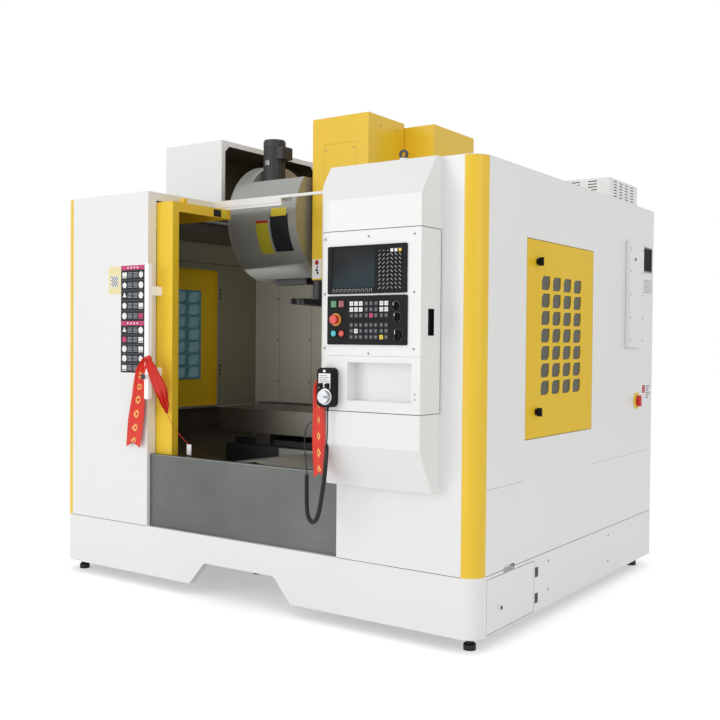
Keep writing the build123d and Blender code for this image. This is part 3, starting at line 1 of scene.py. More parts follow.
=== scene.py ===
"""Looks of a vertical machining centre: paint, trim, labels, ribbons and the pendant's curly cord."""

import json
import logging
import math
from dataclasses import dataclass, field
from enum import Enum

import bmesh
import bpy
from mathutils import Matrix, Vector


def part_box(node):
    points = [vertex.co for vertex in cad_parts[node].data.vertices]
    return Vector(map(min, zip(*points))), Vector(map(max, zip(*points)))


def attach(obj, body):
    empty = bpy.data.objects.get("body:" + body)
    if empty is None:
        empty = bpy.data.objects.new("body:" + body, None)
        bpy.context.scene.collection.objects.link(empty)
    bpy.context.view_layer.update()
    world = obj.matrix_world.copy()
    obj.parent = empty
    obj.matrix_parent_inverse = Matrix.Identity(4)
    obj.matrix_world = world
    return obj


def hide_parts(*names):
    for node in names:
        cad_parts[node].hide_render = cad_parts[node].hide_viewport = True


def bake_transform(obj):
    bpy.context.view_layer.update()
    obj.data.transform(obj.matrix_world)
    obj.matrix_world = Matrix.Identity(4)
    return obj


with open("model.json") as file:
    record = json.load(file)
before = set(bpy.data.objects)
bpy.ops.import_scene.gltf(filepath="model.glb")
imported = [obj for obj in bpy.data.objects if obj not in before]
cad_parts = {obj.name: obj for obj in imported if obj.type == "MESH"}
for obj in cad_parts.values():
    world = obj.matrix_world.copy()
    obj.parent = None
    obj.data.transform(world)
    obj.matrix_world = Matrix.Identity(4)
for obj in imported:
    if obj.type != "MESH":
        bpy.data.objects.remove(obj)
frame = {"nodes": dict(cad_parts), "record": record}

LOG = logging.getLogger("machining_centre")
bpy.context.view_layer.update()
MM = 0.001
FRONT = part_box("front_skirt")[0].y
SMOOTH_ANGLE = math.radians(35)
MERGE = 0.01 * MM
RELIEF_STRENGTH = 0.8
COAT_ROUGHNESS = 0.12

Span = tuple[float, float]
Socket = bpy.types.NodeSocket
Triple = tuple[float, float, float]


def limits(node: str) -> tuple[Span, Span, Span]:
    """Return a CAD node's limits across, back from the front face and in height, in millimetres."""
    low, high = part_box(node)
    setbacks = ((low.y - FRONT) / MM, (high.y - FRONT) / MM)
    return (low.x / MM, high.x / MM), setbacks, (low.z / MM, high.z / MM)


SIDE = limits("right_wall")[0][1]
CONTROL_FACE = limits("control_door")[1][0]


def at(across: float, setback: float, height: float) -> Vector:
    """Return the point, in metres, at millimetres across, back from the front face and above the floor."""
    return Vector((across * MM, FRONT + setback * MM, height * MM))


def tone(code: str) -> tuple[float, float, float, float]:
    """Turn a six digit screen colour into a linear one.

    Args:
        code: Red, green and blue as hexadecimal pairs.

    Returns:
        Linear red, green and blue, with a full alpha.
    """
    parts = [int(code[i : i + 2], 16) / 255 for i in (0, 2, 4)]
    linear = [p / 12.92 if p <= 0.04045 else ((p + 0.055) / 1.055) ** 2.4 for p in parts]
    return (linear[0], linear[1], linear[2], 1.0)


def shaded(colour: tuple[float, ...], factor: float) -> tuple[float, ...]:
    """Return a colour made darker or lighter by a factor."""
    return (*(min(1.0, part * factor) for part in colour[:3]), 1.0)


class Grain(Enum):
    """Surface relief of a finish: features per metre, depth in millimetres and stretch along each axis."""

    SHEET = (240.0, 0.004, (1.0, 1.0, 1.0))
    CAST = (110.0, 0.20, (1.0, 1.0, 1.0))
    HAMMERED = (150.0, 0.04, (1.0, 1.0, 1.0))
    BRUSHED = (60.0, 0.015, (0.04, 1.0, 14.0))
    GROUND = (70.0, 0.02, (1.0, 16.0, 1.0))
    MOULDED = (800.0, 0.012, (1.0, 1.0, 1.0))
    GLAZED = (9.0, 0.003, (1.0, 1.0, 1.0))
    SPUN = (160.0, 0.012, (1.0, 1.0, 1.0))
    WOVEN = (900.0, 0.03, (1.0, 1.0, 1.0))


class Recipe:
    """Node tree of one material, with short calls that add to it."""

    def __init__(self, name: str) -> None:
        """Start a material of that name."""
        self.material = bpy.data.materials.new(name)
        self.material.use_nodes = True
        self.tree = self.material.node_tree
        self.shader = self.tree.nodes["Principled BSDF"]
        self.coordinates = self.tree.nodes.new("ShaderNodeTexCoord")

    def node(self, kind: str, links: dict[str, object] | None = None, **settings: object) -> bpy.types.Node:
        """Add a node.

        Args:
            kind: Blender's name of the node, without its ShaderNode prefix.
            links: Sockets or constant values, by the input's name or number.
            settings: Properties of the node.

        Returns:
            The new node.
        """
        made = self.tree.nodes.new("ShaderNode" + kind)
        for key, value in settings.items():
            setattr(made, key, value)
        for key, value in (links or {}).items():
            if isinstance(value, bpy.types.NodeSocket):
                self.tree.links.new(value, made.inputs[key])
            else:
                made.inputs[key].default_value = value
        return made

    def noise(self, scale: float, stretch: Triple = (1.0, 1.0, 1.0), detail: float = 3.0) -> Socket:
        """Add noise in the object's own coordinates.

        Args:
            scale: Features per metre.
            stretch: Factor on each axis before the noise is read.
            detail: Octaves of the noise.

        Returns:
            The noise's grey value.
        """
        mapping = self.node("Mapping", {"Vector": self.coordinates.outputs["Object"], "Scale": stretch})
        made = self.node("TexNoise", {"Vector": mapping.outputs[0], "Scale": scale, "Detail": detail})
        return made.outputs[0]

    def between(self, value: Socket, low: float, high: float) -> Socket:
        """Return a noise's grey value with its middle range mapped on to other limits."""
        ends = {"Value": value, "From Min": 0.3, "From Max": 0.7, "To Min": low, "To Max": high}
        return self.node("MapRange", ends).outputs[0]

    def blend(self, factor: object, first: object, second: object) -> Socket:
        """Return two colours or colour sockets mixed by the second one's share."""
        return self.node("Mix", {0: factor, 6: first, 7: second}, data_type="RGBA").outputs[2]

    def step(self, operation: str, first: object, second: object = 0.0) -> Socket:
        """Return the result of one arithmetic step on values or sockets."""
        return self.node("Math", {0: first, 1: second}, operation=operation).outputs[0]

    def feed(self, name: str, source: Socket) -> None:
        """Link a socket to the shader's input of that name."""
        self.tree.links.new(source, self.shader.inputs[name])


@dataclass(frozen=True)
class Finish:
    """Painted, moulded or bare surface with tone, gloss and relief that vary a little."""

    name: str
    colour: str
    roughness: float = 0.35
    grain: Grain = Grain.SHEET
    metallic: float = 0.0
    coat: float = 0.0
    mottle: float = 0.03
    cloud: float = 1.6
    alpha: float = 1.0
    glow: float = 0.0
    edge: float = 1.2 * MM
    gloss_scale: float = 2.5
    gloss_spread: float = 0.06
    specular: float = 0.5

    def build(self) -> bpy.types.Material:
        """Make the material, or return the one already made."""
        if self.name in bpy.data.materials:
            return bpy.data.materials[self.name]
        recipe = Recipe(self.name)
        base = tone(self.colour)
        scale, depth, stretch = self.grain.value
        cloud = recipe.noise(self.cloud, detail=4.0)
        fine = recipe.noise(scale, stretch)
        share = recipe.between(cloud, 0.0, 1.0)
        colour = recipe.blend(share, shaded(base, 1 - self.mottle), shaded(base, 1 + self.mottle))
        recipe.feed("Base Color", self.detail(recipe, colour, fine))
        patches = recipe.noise(self.gloss_scale, detail=0.0)
        low, high = (self.roughness * (1 + way * self.gloss_spread) for way in (-1, 1))
        recipe.feed("Roughness", recipe.between(patches, low, high))
        rounded = recipe.node("Bevel", {"Radius": self.edge}, samples=4)
        relief = {"Strength": RELIEF_STRENGTH, "Distance": depth * MM, "Height": fine}
        bump = recipe.node("Bump", {**relief, "Normal": rounded.outputs[0]})
        recipe.feed("Normal", bump.outputs[0])
        constants = {
            "Metallic": self.metallic,
            "Coat Weight": self.coat,
            "Coat Roughness": COAT_ROUGHNESS,
            "Specular IOR Level": self.specular,
            "Alpha": self.alpha,
        }
        if self.glow:
            constants.update({"Emission Color": base, "Emission Strength": self.glow})
        for socket, value in constants.items():
            recipe.shader.inputs[socket].default_value = value
        return recipe.material

    def detail(self, recipe: Recipe, colour: Socket, fine: Socket) -> Socket:
        """Return the colour as it is; other finishes draw on it."""
        return colour


@dataclass(frozen=True)
class SheetSteel(Finish):
    """Bare steel sheet with fine drawn lines and cloudy reflections."""

    line_share: float = 0.5
    line_tone: float = 0.72

    def detail(self, recipe: Recipe, colour: Socket, fine: Socket) -> Socket:
        """Return the colour with dark lines drawn along the sheet."""
        lines = recipe.between(fine, 0.0, self.line_share)
        return recipe.blend(lines, colour, shaded(tone(self.colour), self.line_tone))


@dataclass(frozen=True)
class OiledPan(Finish):
    """Painted sheet darkened in places by oil and fine chips."""

    stain_scale: float = 5.5
    stain_share: float = 0.75
    stain_tone: float = 0.45

    def detail(self, recipe: Recipe, colour: Socket, fine: Socket) -> Socket:
        """Return the colour with dark stains laid over the paint."""
        stain = recipe.between(recipe.noise(self.stain_scale, detail=6.0), 0.0, self.stain_share)
        return recipe.blend(stain, colour, shaded(tone(self.colour), self.stain_tone))


@dataclass(frozen=True)
class Screen(Finish):
    """Switched off display: dark at the top, with a painted dull blue reflection below."""

    low: float = 1227 * MM
    high: float = 1380 * MM
    slant: float = -0.35
    share: float = 0.9
    painted_sheen: str = "25363C"

    def detail(self, recipe: Recipe, colour: Socket, fine: Socket) -> Socket:
        """Grade the glass from its foot to its head, laying a painted reflection that is strongest at the
        foot.

        Args:
            recipe: Material in the making.
            colour: Base colour.
            fine: Noise, unused on glass.

        Returns:
            The graded colour.
        """
        axes = recipe.node("SeparateXYZ", {0: recipe.coordinates.outputs["Object"]})
        slanted = recipe.step("MULTIPLY", axes.outputs["X"], self.slant)
        height = recipe.step("ADD", axes.outputs["Z"], slanted)
        heights = {"Value": height, "From Min": self.low, "From Max": self.high}
        shares = {"To Min": self.share, "To Max": 0.0}
        share = recipe.node("MapRange", {**heights, **shares}, interpolation_type="SMOOTHSTEP").outputs[0]
        # Blue painted reflection on the lower part of the glass.
        return recipe.blend(share, colour, tone(self.painted_sheen))


@dataclass(frozen=True)
class Satin(Finish):
    """Woven ribbon with a row of plain lozenges along its middle."""

    motif: str = "F2C66B"
    motifs: float = 8.0
    narrow: float = 1.6
    outer: float = 0.30
    inner: float = 0.14
    plain_share: float = 0.24

    def detail(self, recipe: Recipe, colour: Socket, fine: Socket) -> Socket:
        """Draw the lozenges on the ribbon's own map.

        Args:
            recipe: Material in the making.
            colour: Base colour.
            fine: Noise of the weave. Not used.

        Returns:
            The colour with its lozenges.
        """
        axes = recipe.node("SeparateXYZ", {0: recipe.coordinates.outputs["UV"]})
        across = recipe.step("ABSOLUTE", recipe.step("SUBTRACT", axes.outputs["X"], 0.5))
        along = recipe.step("MULTIPLY", axes.outputs["Y"], self.motifs)
        place = recipe.step("ABSOLUTE", recipe.step("SUBTRACT", recipe.step("FRACT", along), 0.5))
        reach = recipe.step("ADD", recipe.step("MULTIPLY", across, self.narrow), place)
        inside = recipe.step("LESS_THAN", reach, self.outer)
        hollow = recipe.step("GREATER_THAN", reach, self.inner)
        drawn = recipe.step("MULTIPLY", inside, hollow)
        begun = recipe.step("GREATER_THAN", axes.outputs["Y"], self.plain_share)
        return recipe.blend(recipe.step("MULTIPLY", drawn, begun), colour, tone(self.motif))


def moulding(name: str, colour: str, roughness: float = 0.30, coat: float = 0.3) -> Finish:
    """Return the finish of a coloured plastic moulding."""
    return Finish(name, colour, roughness, Grain.MOULDED, coat=coat, mottle=0.03, edge=0.6 * MM)


def printed(name: str, colour: str, roughness: float, mottle: float, specular: float = 0.5) -> Finish:
    """Return the smooth finish of a printed label or key."""
    return Finish(name, colour, roughness, Grain.GLAZED, mottle=mottle, edge=0.1 * MM, specular=specular)


WHITE = Finish("white_enamel", "F0F0EF", 0.34, coat=0.12, mottle=0.005)
YELLOW = Finish("yellow_enamel", "F3C92B", 0.36, coat=0.1, mottle=0.010)
DOOR_YELLOW = Finish("side_door_enamel", "F1C71D", 0.42, mottle=0.010, specular=0.2)
SEAM_YELLOW = Finish("seam_yellow", "B8952A", 0.5, edge=0.2 * MM)
# The handles' white also glows a little, though it is no lamp: painted light that keeps it bright in the
# shade.
GLOWING_HANDLE_WHITE = Finish("handle_white_painted_glow", "FAFAFA", 0.25, coat=0.3, mottle=0.005, glow=0.12)
INNER = Finish("inner_enamel", "DDD8C9", 0.42, mottle=0.02)
# Olive grey on the left wall's inside: painted shade over the wall's white.
WALL_SHADE = Finish("wall_painted_shade", "8F8B75", 0.45, mottle=0.03)
# Darker olive inside the magazine hood: painted shade.
HOOD_SHADE = Finish("hood_painted_shade", "5C5846", 0.5, mottle=0.04)
HEADER = Finish("header_paint", "5A5648", 0.5, mottle=0.06)
PAN = OiledPan("chip_pan_paint", "4A4238", 0.38, mottle=0.12, cloud=4.0)
STEEL = SheetSteel("apron_sheet", "6B6E6B", 0.42, Grain.BRUSHED, 0.85, mottle=0.20, cloud=2.0)
CAST = Finish("casting_paint", "8F9290", 0.48, Grain.CAST, mottle=0.04, cloud=6.0)
# Near black on the saddle: painted shade standing for the shadow under the table.
SADDLE_SHADE = Finish("saddle_painted_shade", "1E2124", 0.5, Grain.CAST, mottle=0.06, cloud=6.0)
COVER_STEEL = SheetSteel("cover_sheet", "A8A7A0", 0.40, Grain.BRUSHED, 0.3, mottle=0.10, cloud=4.0)
GROUND = SheetSteel("ground_iron", "75726C", 0.32, Grain.GROUND, 0.85, mottle=0.10, cloud=7.0)
BRIGHT = Finish("bright_steel", "B9BABC", 0.18, Grain.SPUN, 1.0, mottle=0.04)
DRUM = Finish("drum_grey", "A3A49F", 0.36, Grain.SHEET, 0.30, coat=0.1, mottle=0.02, cloud=3.0)
BLACK = Finish("black_paint", "0B0C0E", 0.55, Grain.HAMMERED, mottle=0.10, cloud=9.0, specular=0.3)
DISC = Finish("turned_disc", "A4A5A8", 0.30, Grain.SPUN, 0.95, mottle=0.05)
FOOT = Finish("blackened_steel", "2A2A2B", 0.45, Grain.CAST, 0.6, mottle=0.12, cloud=20.0)
PANE = Finish("tinted_pane", "7FA3A6", 0.08, Grain.GLAZED, coat=0.4, alpha=0.50, edge=0.3 * MM)
PANE_BLUE = Finish("blue_pane", "55ABC0", 0.12, Grain.GLAZED, coat=0.3, alpha=0.80, edge=0.3 * MM)
PANE_GREY = Finish("grey_pane", "464A34", 0.14, Grain.GLAZED, alpha=0.70, edge=0.3 * MM, specular=0.3)
DARK_PLASTIC = Finish("dark_plastic", "0D0E10", 0.58, Grain.MOULDED, mottle=0.06, edge=0.6 * MM, specular=0.2)
RUBBER = Finish("cord_sheath", "17181A", 0.52, Grain.MOULDED, mottle=0.08, cloud=20.0, edge=0.3 * MM)
WHEEL = Finish("turned_wheel", "C4C6C8", 0.25, Grain.SPUN, 0.9, mottle=0.06, cloud=30.0)
RED = moulding("red_plastic", "CE2A1E", 0.26, 0.4)
GREEN = moulding("green_plastic", "2E9E5B", 0.26, 0.4)
DEEP_GREEN = moulding("deep_green_plastic", "2C8453")
MAROON = moulding("maroon_plastic", "8E2A33")
ORANGE = moulding("orange_collar", "E8A02C")
TEAL = moulding("teal_plastic", "25A6AC", 0.26, 0.4)
SHADOW = Finish("shadow_gap", "2B2C2D", 0.6, Grain.MOULDED, mottle=0.05, edge=0.2 * MM)
SCREW = Finish("zinc_screw", "8C8D8C", 0.30, Grain.SPUN, 0.85, mottle=0.05, edge=0.3 * MM)
LABEL_DARK = printed("label_dark", "1E2125", 0.45, 0.04, 0.25)
LABEL_WHITE = printed("label_white", "F1F1F1", 0.35, 0.01)
LABEL_GREY = printed("label_grey", "6C7075", 0.35, 0.03)
LABEL_ROSE = printed("label_rose", "C63E72", 0.35, 0.02)
LABEL_CREAM = printed("label_cream", "F0E2AE", 0.40, 0.02)
LABEL_YELLOW = printed("label_yellow", "E8CF3A", 0.35, 0.02)
LABEL_OLIVE = printed("label_olive", "B9AE2E", 0.35, 0.04)
LABEL_RED = printed("label_red", "B5231B", 0.35, 0.02)
KEY_DARK = printed("key_dark", "30343A", 0.38, 0.03)
LEGEND = printed("key_legend", "A9ADB2", 0.40, 0.03)
GLASS_DARK = Finish("dark_glass", "0B0D10", 0.62, Grain.GLAZED, edge=0.2 * MM, specular=0.10)
# Dark display glass with a painted blue reflection low down.
DISPLAY = Screen("display_glass", "0C0F11", 0.40, Grain.GLAZED, edge=0.1 * MM, specular=0.2)
RIBBON = Satin("red_satin", "E0301F", 0.45, Grain.WOVEN, mottle=0.05, cloud=12.0, edge=0.1 * MM)
KNOT = Finish("red_satin_plain", "DA2A1B", 0.45, Grain.WOVEN, mottle=0.08, cloud=30.0, edge=0.1 * MM)

SLOT_FINISHES = {
    "white_paint": WHITE,
    "yellow_paint": YELLOW,
    "handle_paint": GLOWING_HANDLE_WHITE,
    "inner_paint": INNER,
    "pan_paint": PAN,
    "apron_steel": STEEL,
    "cast_paint": CAST,
    "machined_iron": GROUND,
    "bright_steel": BRIGHT,
    "drum_paint": DRUM,
    "black_paint": BLACK,
    "disc_metal": DISC,
    "foot_steel": FOOT,
    "clear_sheet": PANE,
    "black_plastic": DARK_PLASTIC,
    "cord_rubber": RUBBER,
    "wheel_metal": WHEEL,
    "red_plastic": RED,
    "green_plastic": GREEN,
    "teal_plastic": TEAL,
}

NODE_FINISHES = {
    "left_side_door": DOOR_YELLOW,
    "right_side_door": DOOR_YELLOW,
    "power_off_button": MAROON,
    "power_on_button": DEEP_GREEN,
    "saddle": SADDLE_SHADE,
    "way_cover": COVER_STEEL,
    "left_side_window": PANE_BLUE,
    "right_side_window": PANE_GREY,
}


class Shape:
    """One piece under construction, shaped with mesh operators and sized in millimetres."""

    def __init__(self, name: str) -> None:
        """Start an empty piece of that name."""
        self.name = name
        self.mesh = bmesh.new()

    def soften(self, edges: list[bmesh.types.BMEdge], width: float, segments: int = 2) -> None:
        """Round off edges.

        Args:
            edges: Edges of the form that was just added.
            width: Width of the rounding in millimetres.
            segments: Steps across the rounding.
        """
        bmesh.ops.bevel(
            self.mesh,
            geom=edges,
            offset=width * MM,
            segments=segments,
            profile=0.5,
            affect="EDGES",
            material=-1,
        )

    def block(self, x: Span, s: Span, z: Span, soft: float = 0.0, segments: int = 2) -> "Shape":
        """Add a box.

        Args:
            x: Limits across.
            s: Limits back from the front face.
            z: Limits in height.
            soft: Rounding of its edges.
            segments: Steps across the rounding.

        Returns:
            This piece.
        """
        low, high = at(x[0], s[0], z[0]), at(x[1], s[1], z[1])
        place = Matrix.Translation((low + high) / 2) @ Matrix.Diagonal((*(high - low), 1.0))
        made = bmesh.ops.create_cube(self.mesh, size=1.0, matrix=place)
        if soft:
            edges = {edge for corner in made["verts"] for edge in corner.link_edges}
            self.soften(list(edges), soft, segments)
        return self

    def rod(
        self,
        start: Triple,
        end: Triple,
        radius: float,
        tip: float | None = None,
        soft: float = 0.0,
        sides: int = 24,
    ) -> "Shape":
        """Add a round bar or a cone between two points.

        Args:
            start: Middle of the first end, as across, setback and height.
            end: Middle of the other end.
            radius: Radius at the start.
            tip: Radius at the other end, or None for the same.
            soft: Rounding of its end edges.
            sides: Faces around.

        Returns:
            This piece.
        """
        first, last = at(*start), at(*end)
        way = last - first
        turn = way.to_track_quat("Z", "Y").to_matrix().to_4x4()
        place = Matrix.Translation((first + last) / 2) @ turn
        made = bmesh.ops.create_cone(
            self.mesh,
            cap_ends=True,
            cap_tris=False,
            segments=sides,
            radius1=radius * MM,
            radius2=(radius if tip is None else tip) * MM,
            depth=way.length,
            matrix=place,
        )
        if soft:
            edges = {edge for corner in made["verts"] for edge in corner.link_edges}
            rims = [edge for edge in edges if any(len(face.verts) > 4 for face in edge.link_faces)]
            self.soften(rims, soft)
        return self

    def turned(self, profile: list[Span], start: Triple, way: Triple, sides: int = 32) -> "Shape":
        """Add a form turned about an axis.

        Args:
            profile: Radius and distance along the axis of each corner, both ends on the axis.
            start: Point on the axis where the distance is nought.
            way: Direction of the axis.
            sides: Faces around.

        Returns:
            This piece.
        """
        centre = at(*start)
        axis = Vector(way).normalized()
        out = axis.orthogonal().normalized()
        points = [self.mesh.verts.new(centre + out * r * MM + axis * a * MM) for r, a in profile]
        edges = [self.mesh.edges.new(pair) for pair in zip(points, points[1:])]
        bmesh.ops.spin(
            self.mesh,
            geom=[*points, *edges],
            cent=centre,
            axis=axis,
            angle=math.tau,
            steps=sides,
            use_merge=True,
        )
        bmesh.ops.remove_doubles(self.mesh, verts=self.mesh.verts, dist=MERGE)
        return self

    def wrapped(self, x: Span, angles: Span, radius: float, axis: Span, thickness: float = 0.5) -> "Shape":
        """Add a patch that lies on a drum whose axis runs across.

        Args:
            x: Limits across.
            angles: Lower and upper angle in degrees above level, seen from the front.
            radius: Radius of the drum's face.
            axis: Setback and height of the drum's axis.
            thickness: Thickness of the patch.

        Returns:
            This piece.
        """
        centre = at(0.0, *axis)
        low = math.radians(angles[0])
        reach = (radius + 0.1) * MM
        offset = Vector((0.0, -math.cos(low) * reach, math.sin(low) * reach))
        ends = [self.mesh.verts.new(Vector((side * MM, centre.y, centre.z)) + offset) for side in x]
        edge = self.mesh.edges.new(ends)
        bmesh.ops.spin(
            self.mesh,
            geom=[*ends, edge],
            cent=centre,
            axis=(1.0, 0.0, 0.0),
            angle=-math.radians(angles[1] - angles[0]),
            steps=14,
        )
        bmesh.ops.solidify(self.mesh, geom=self.mesh.faces, thickness=thickness * MM)
        return self

    def done(self, body: str, finish: Finish, slot: str | None = None) -> bpy.types.Object:
        """Return the finished piece's object, dressed in its finish and set on its body."""
        bmesh.ops.recalc_face_normals(self.mesh, faces=self.mesh.faces)
        return settle(self.mesh, self.name, body, finish)


def settle(
    mesh: bmesh.types.BMesh,
    name: str,
    body: str | None,
    finish: Finish,
) -> bpy.types.Object:
    """Turn a finished mesh into an object.

    Args:
        mesh: Mesh in metres in the shared frame.
        name: Piece's name.
        body: CAD body that it moves with, or None to leave that to the caller.
        finish: Its surface.

    Returns:
        The object.
    """
    data = bpy.data.meshes.new(name)
    mesh.to_mesh(data)
    mesh.free()
    data.shade_smooth()
    data.set_sharp_from_angle(angle=SMOOTH_ANGLE)
    data.materials.append(finish.build())
    made = bpy.data.objects.new(name, data)
    bpy.context.scene.collection.objects.link(made)
    if body:
        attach(made, body)
    LOG.info("%s: %d faces", name, len(data.polygons))
    return made


def dress(body: str, pieces: dict[Shape, Finish]) -> None:
    """Finish several pieces of one body, in order."""
    for shape, finish in pieces.items():
        shape.done(body, finish)


def run_of(points: list[Vector]) -> float:
    """Return the length of a line through points."""
    return sum((last - first).length for first, last in zip(points, points[1:]))


@dataclass
class Studio:
    """Camera at the photograph's angle, soft lamps, a white floor and a white surround."""

    place: Triple = (3.1699, -4.4513, 1.2829)
    yaw: float = 34.997
    pitch: float = 1.073
    roll: float = 0.5
    focal_pixels: float = 975.63
    frame_pixels: float = 720.0
    sensor: float = 36.0
    clip_end: float = 200.0
    floor_size: float = 60.0
    floor_glow: float = 0.45
    surround: float = 0.62
    lamps: list[tuple[Triple, Triple, float, float]] = field(
        default_factory=lambda: [
            ((-2.2, -6.5, 2.6), (0.0, 0.0, 1.26), 3.4, 84.0),
            ((0.6, -3.6, 5.6), (0.0, 0.0, 1.26), 3.0, 22.0),
            ((6.5, -2.5, 2.6), (0.0, 0.0, 1.26), 3.0, 38.0),
            ((1.0, -6.0, 0.5), (0.0, -0.9, 0.4), 1.6, 20.0),
            ((-0.55, -0.15, 1.45), (-0.5, 0.67, 1.35), 0.5, 1.1),
        ]
    )

    def build(self) -> None:
        """Make the camera, the lamps and the surround."""
        self.make_camera()
        self.make_lamps()
        self.make_world()
        self.make_floor()
        bpy.context.scene.view_settings.view_transform = "Standard"

    def make_camera(self) -> None:
        """Point a pinhole camera as the photograph's camera stood."""
        data = bpy.data.cameras.new("camera")
        data.sensor_width = self.sensor
        data.lens = self.focal_pixels * self.sensor / self.frame_pixels
        data.clip_end = self.clip_end
        yaw, pitch, roll = (math.radians(v) for v in (self.yaw, self.pitch, self.roll))
        ahead = Vector((-math.sin(yaw) * math.cos(pitch), math.cos(yaw) * math.cos(pitch), -math.sin(pitch)))
        right = Vector((math.cos(yaw), math.sin(yaw), 0.0))
        above = right.cross(ahead)
        rolled_right = right * math.cos(roll) + above * math.sin(roll)
        rolled_above = above * math.cos(roll) - right * math.sin(roll)
        turn = Matrix((rolled_right, rolled_above, -ahead)).transposed().to_4x4()
        camera = bpy.data.objects.new("camera", data)
        camera.matrix_world = Matrix.Translation(self.place) @ turn
        bpy.context.scene.collection.objects.link(camera)
        bpy.context.scene.camera = camera

    def make_lamps(self) -> None:
        """Hang square soft lamps, each aimed at its own point of the machine."""
        for index, (place, target, size, power) in enumerate(self.lamps):
            data = bpy.data.lights.new(f"lamp_{index}", "AREA")
            data.energy = power
            data.size = size
            lamp = bpy.data.objects.new(f"lamp_{index}", data)
            lamp.location = place
            lamp.rotation_euler = (Vector(target) - Vector(place)).to_track_quat("-Z", "Y").to_euler()
            lamp.visible_camera = False
            bpy.context.scene.collection.objects.link(lamp)

    def make_world(self) -> None:
        """Surround the machine with white that lights it at a plain level."""
        world = bpy.data.worlds.new("surround")
        bpy.context.scene.world = world
        world.use_nodes = True
        tree = world.node_tree
        background = tree.nodes["Background"]
        background.inputs["Color"].default_value = (1.0, 1.0, 1.0, 1.0)
        self.seen_white(tree, background.inputs["Strength"], self.surround, 1.0)

    def seen_white(self, tree: bpy.types.NodeTree, target: Socket, plain: float, seen: float) -> None:
        """Give seen rays another strength than lighting rays.

        Args:
            tree: Node tree to add to.
            target: Strength socket.
            plain: Strength for light on the machine.
            seen: Strength where the camera, metal or glass sees it.
        """
        path = tree.nodes.new("ShaderNodeLightPath")
        total = path.outputs["Is Camera Ray"]
        for ray in ("Is Glossy Ray", "Is Transmission Ray"):
            either = tree.nodes.new("ShaderNodeMath")
            either.operation = "MAXIMUM"
            tree.links.new(total, either.inputs[0])
            tree.links.new(path.outputs[ray], either.inputs[1])
            total = either.outputs[0]
        ends = tree.nodes.new("ShaderNodeMapRange")
        ends.inputs["To Min"].default_value = plain
        ends.inputs["To Max"].default_value = seen
        tree.links.new(total, ends.inputs["Value"])
        tree.links.new(ends.outputs[0], target)

    def make_floor(self) -> None:
        """Lay a wide white floor that keeps a soft shadow."""
        mesh = bmesh.new()
        bmesh.ops.create_grid(mesh, x_segments=8, y_segments=8, size=self.floor_size / 2)
        finish = Finish("floor_white", "F4F4F4", 0.8, Grain.SHEET, mottle=0.005)
        floor = settle(mesh, "floor", None, finish)
        material = floor.data.materials[0]
        shader = material.node_tree.nodes["Principled BSDF"]
        shader.inputs["Emission Color"].default_value = (1.0, 1.0, 1.0, 1.0)
        self.seen_white(material.node_tree, shader.inputs["Emission Strength"], 0.0, self.floor_glow)


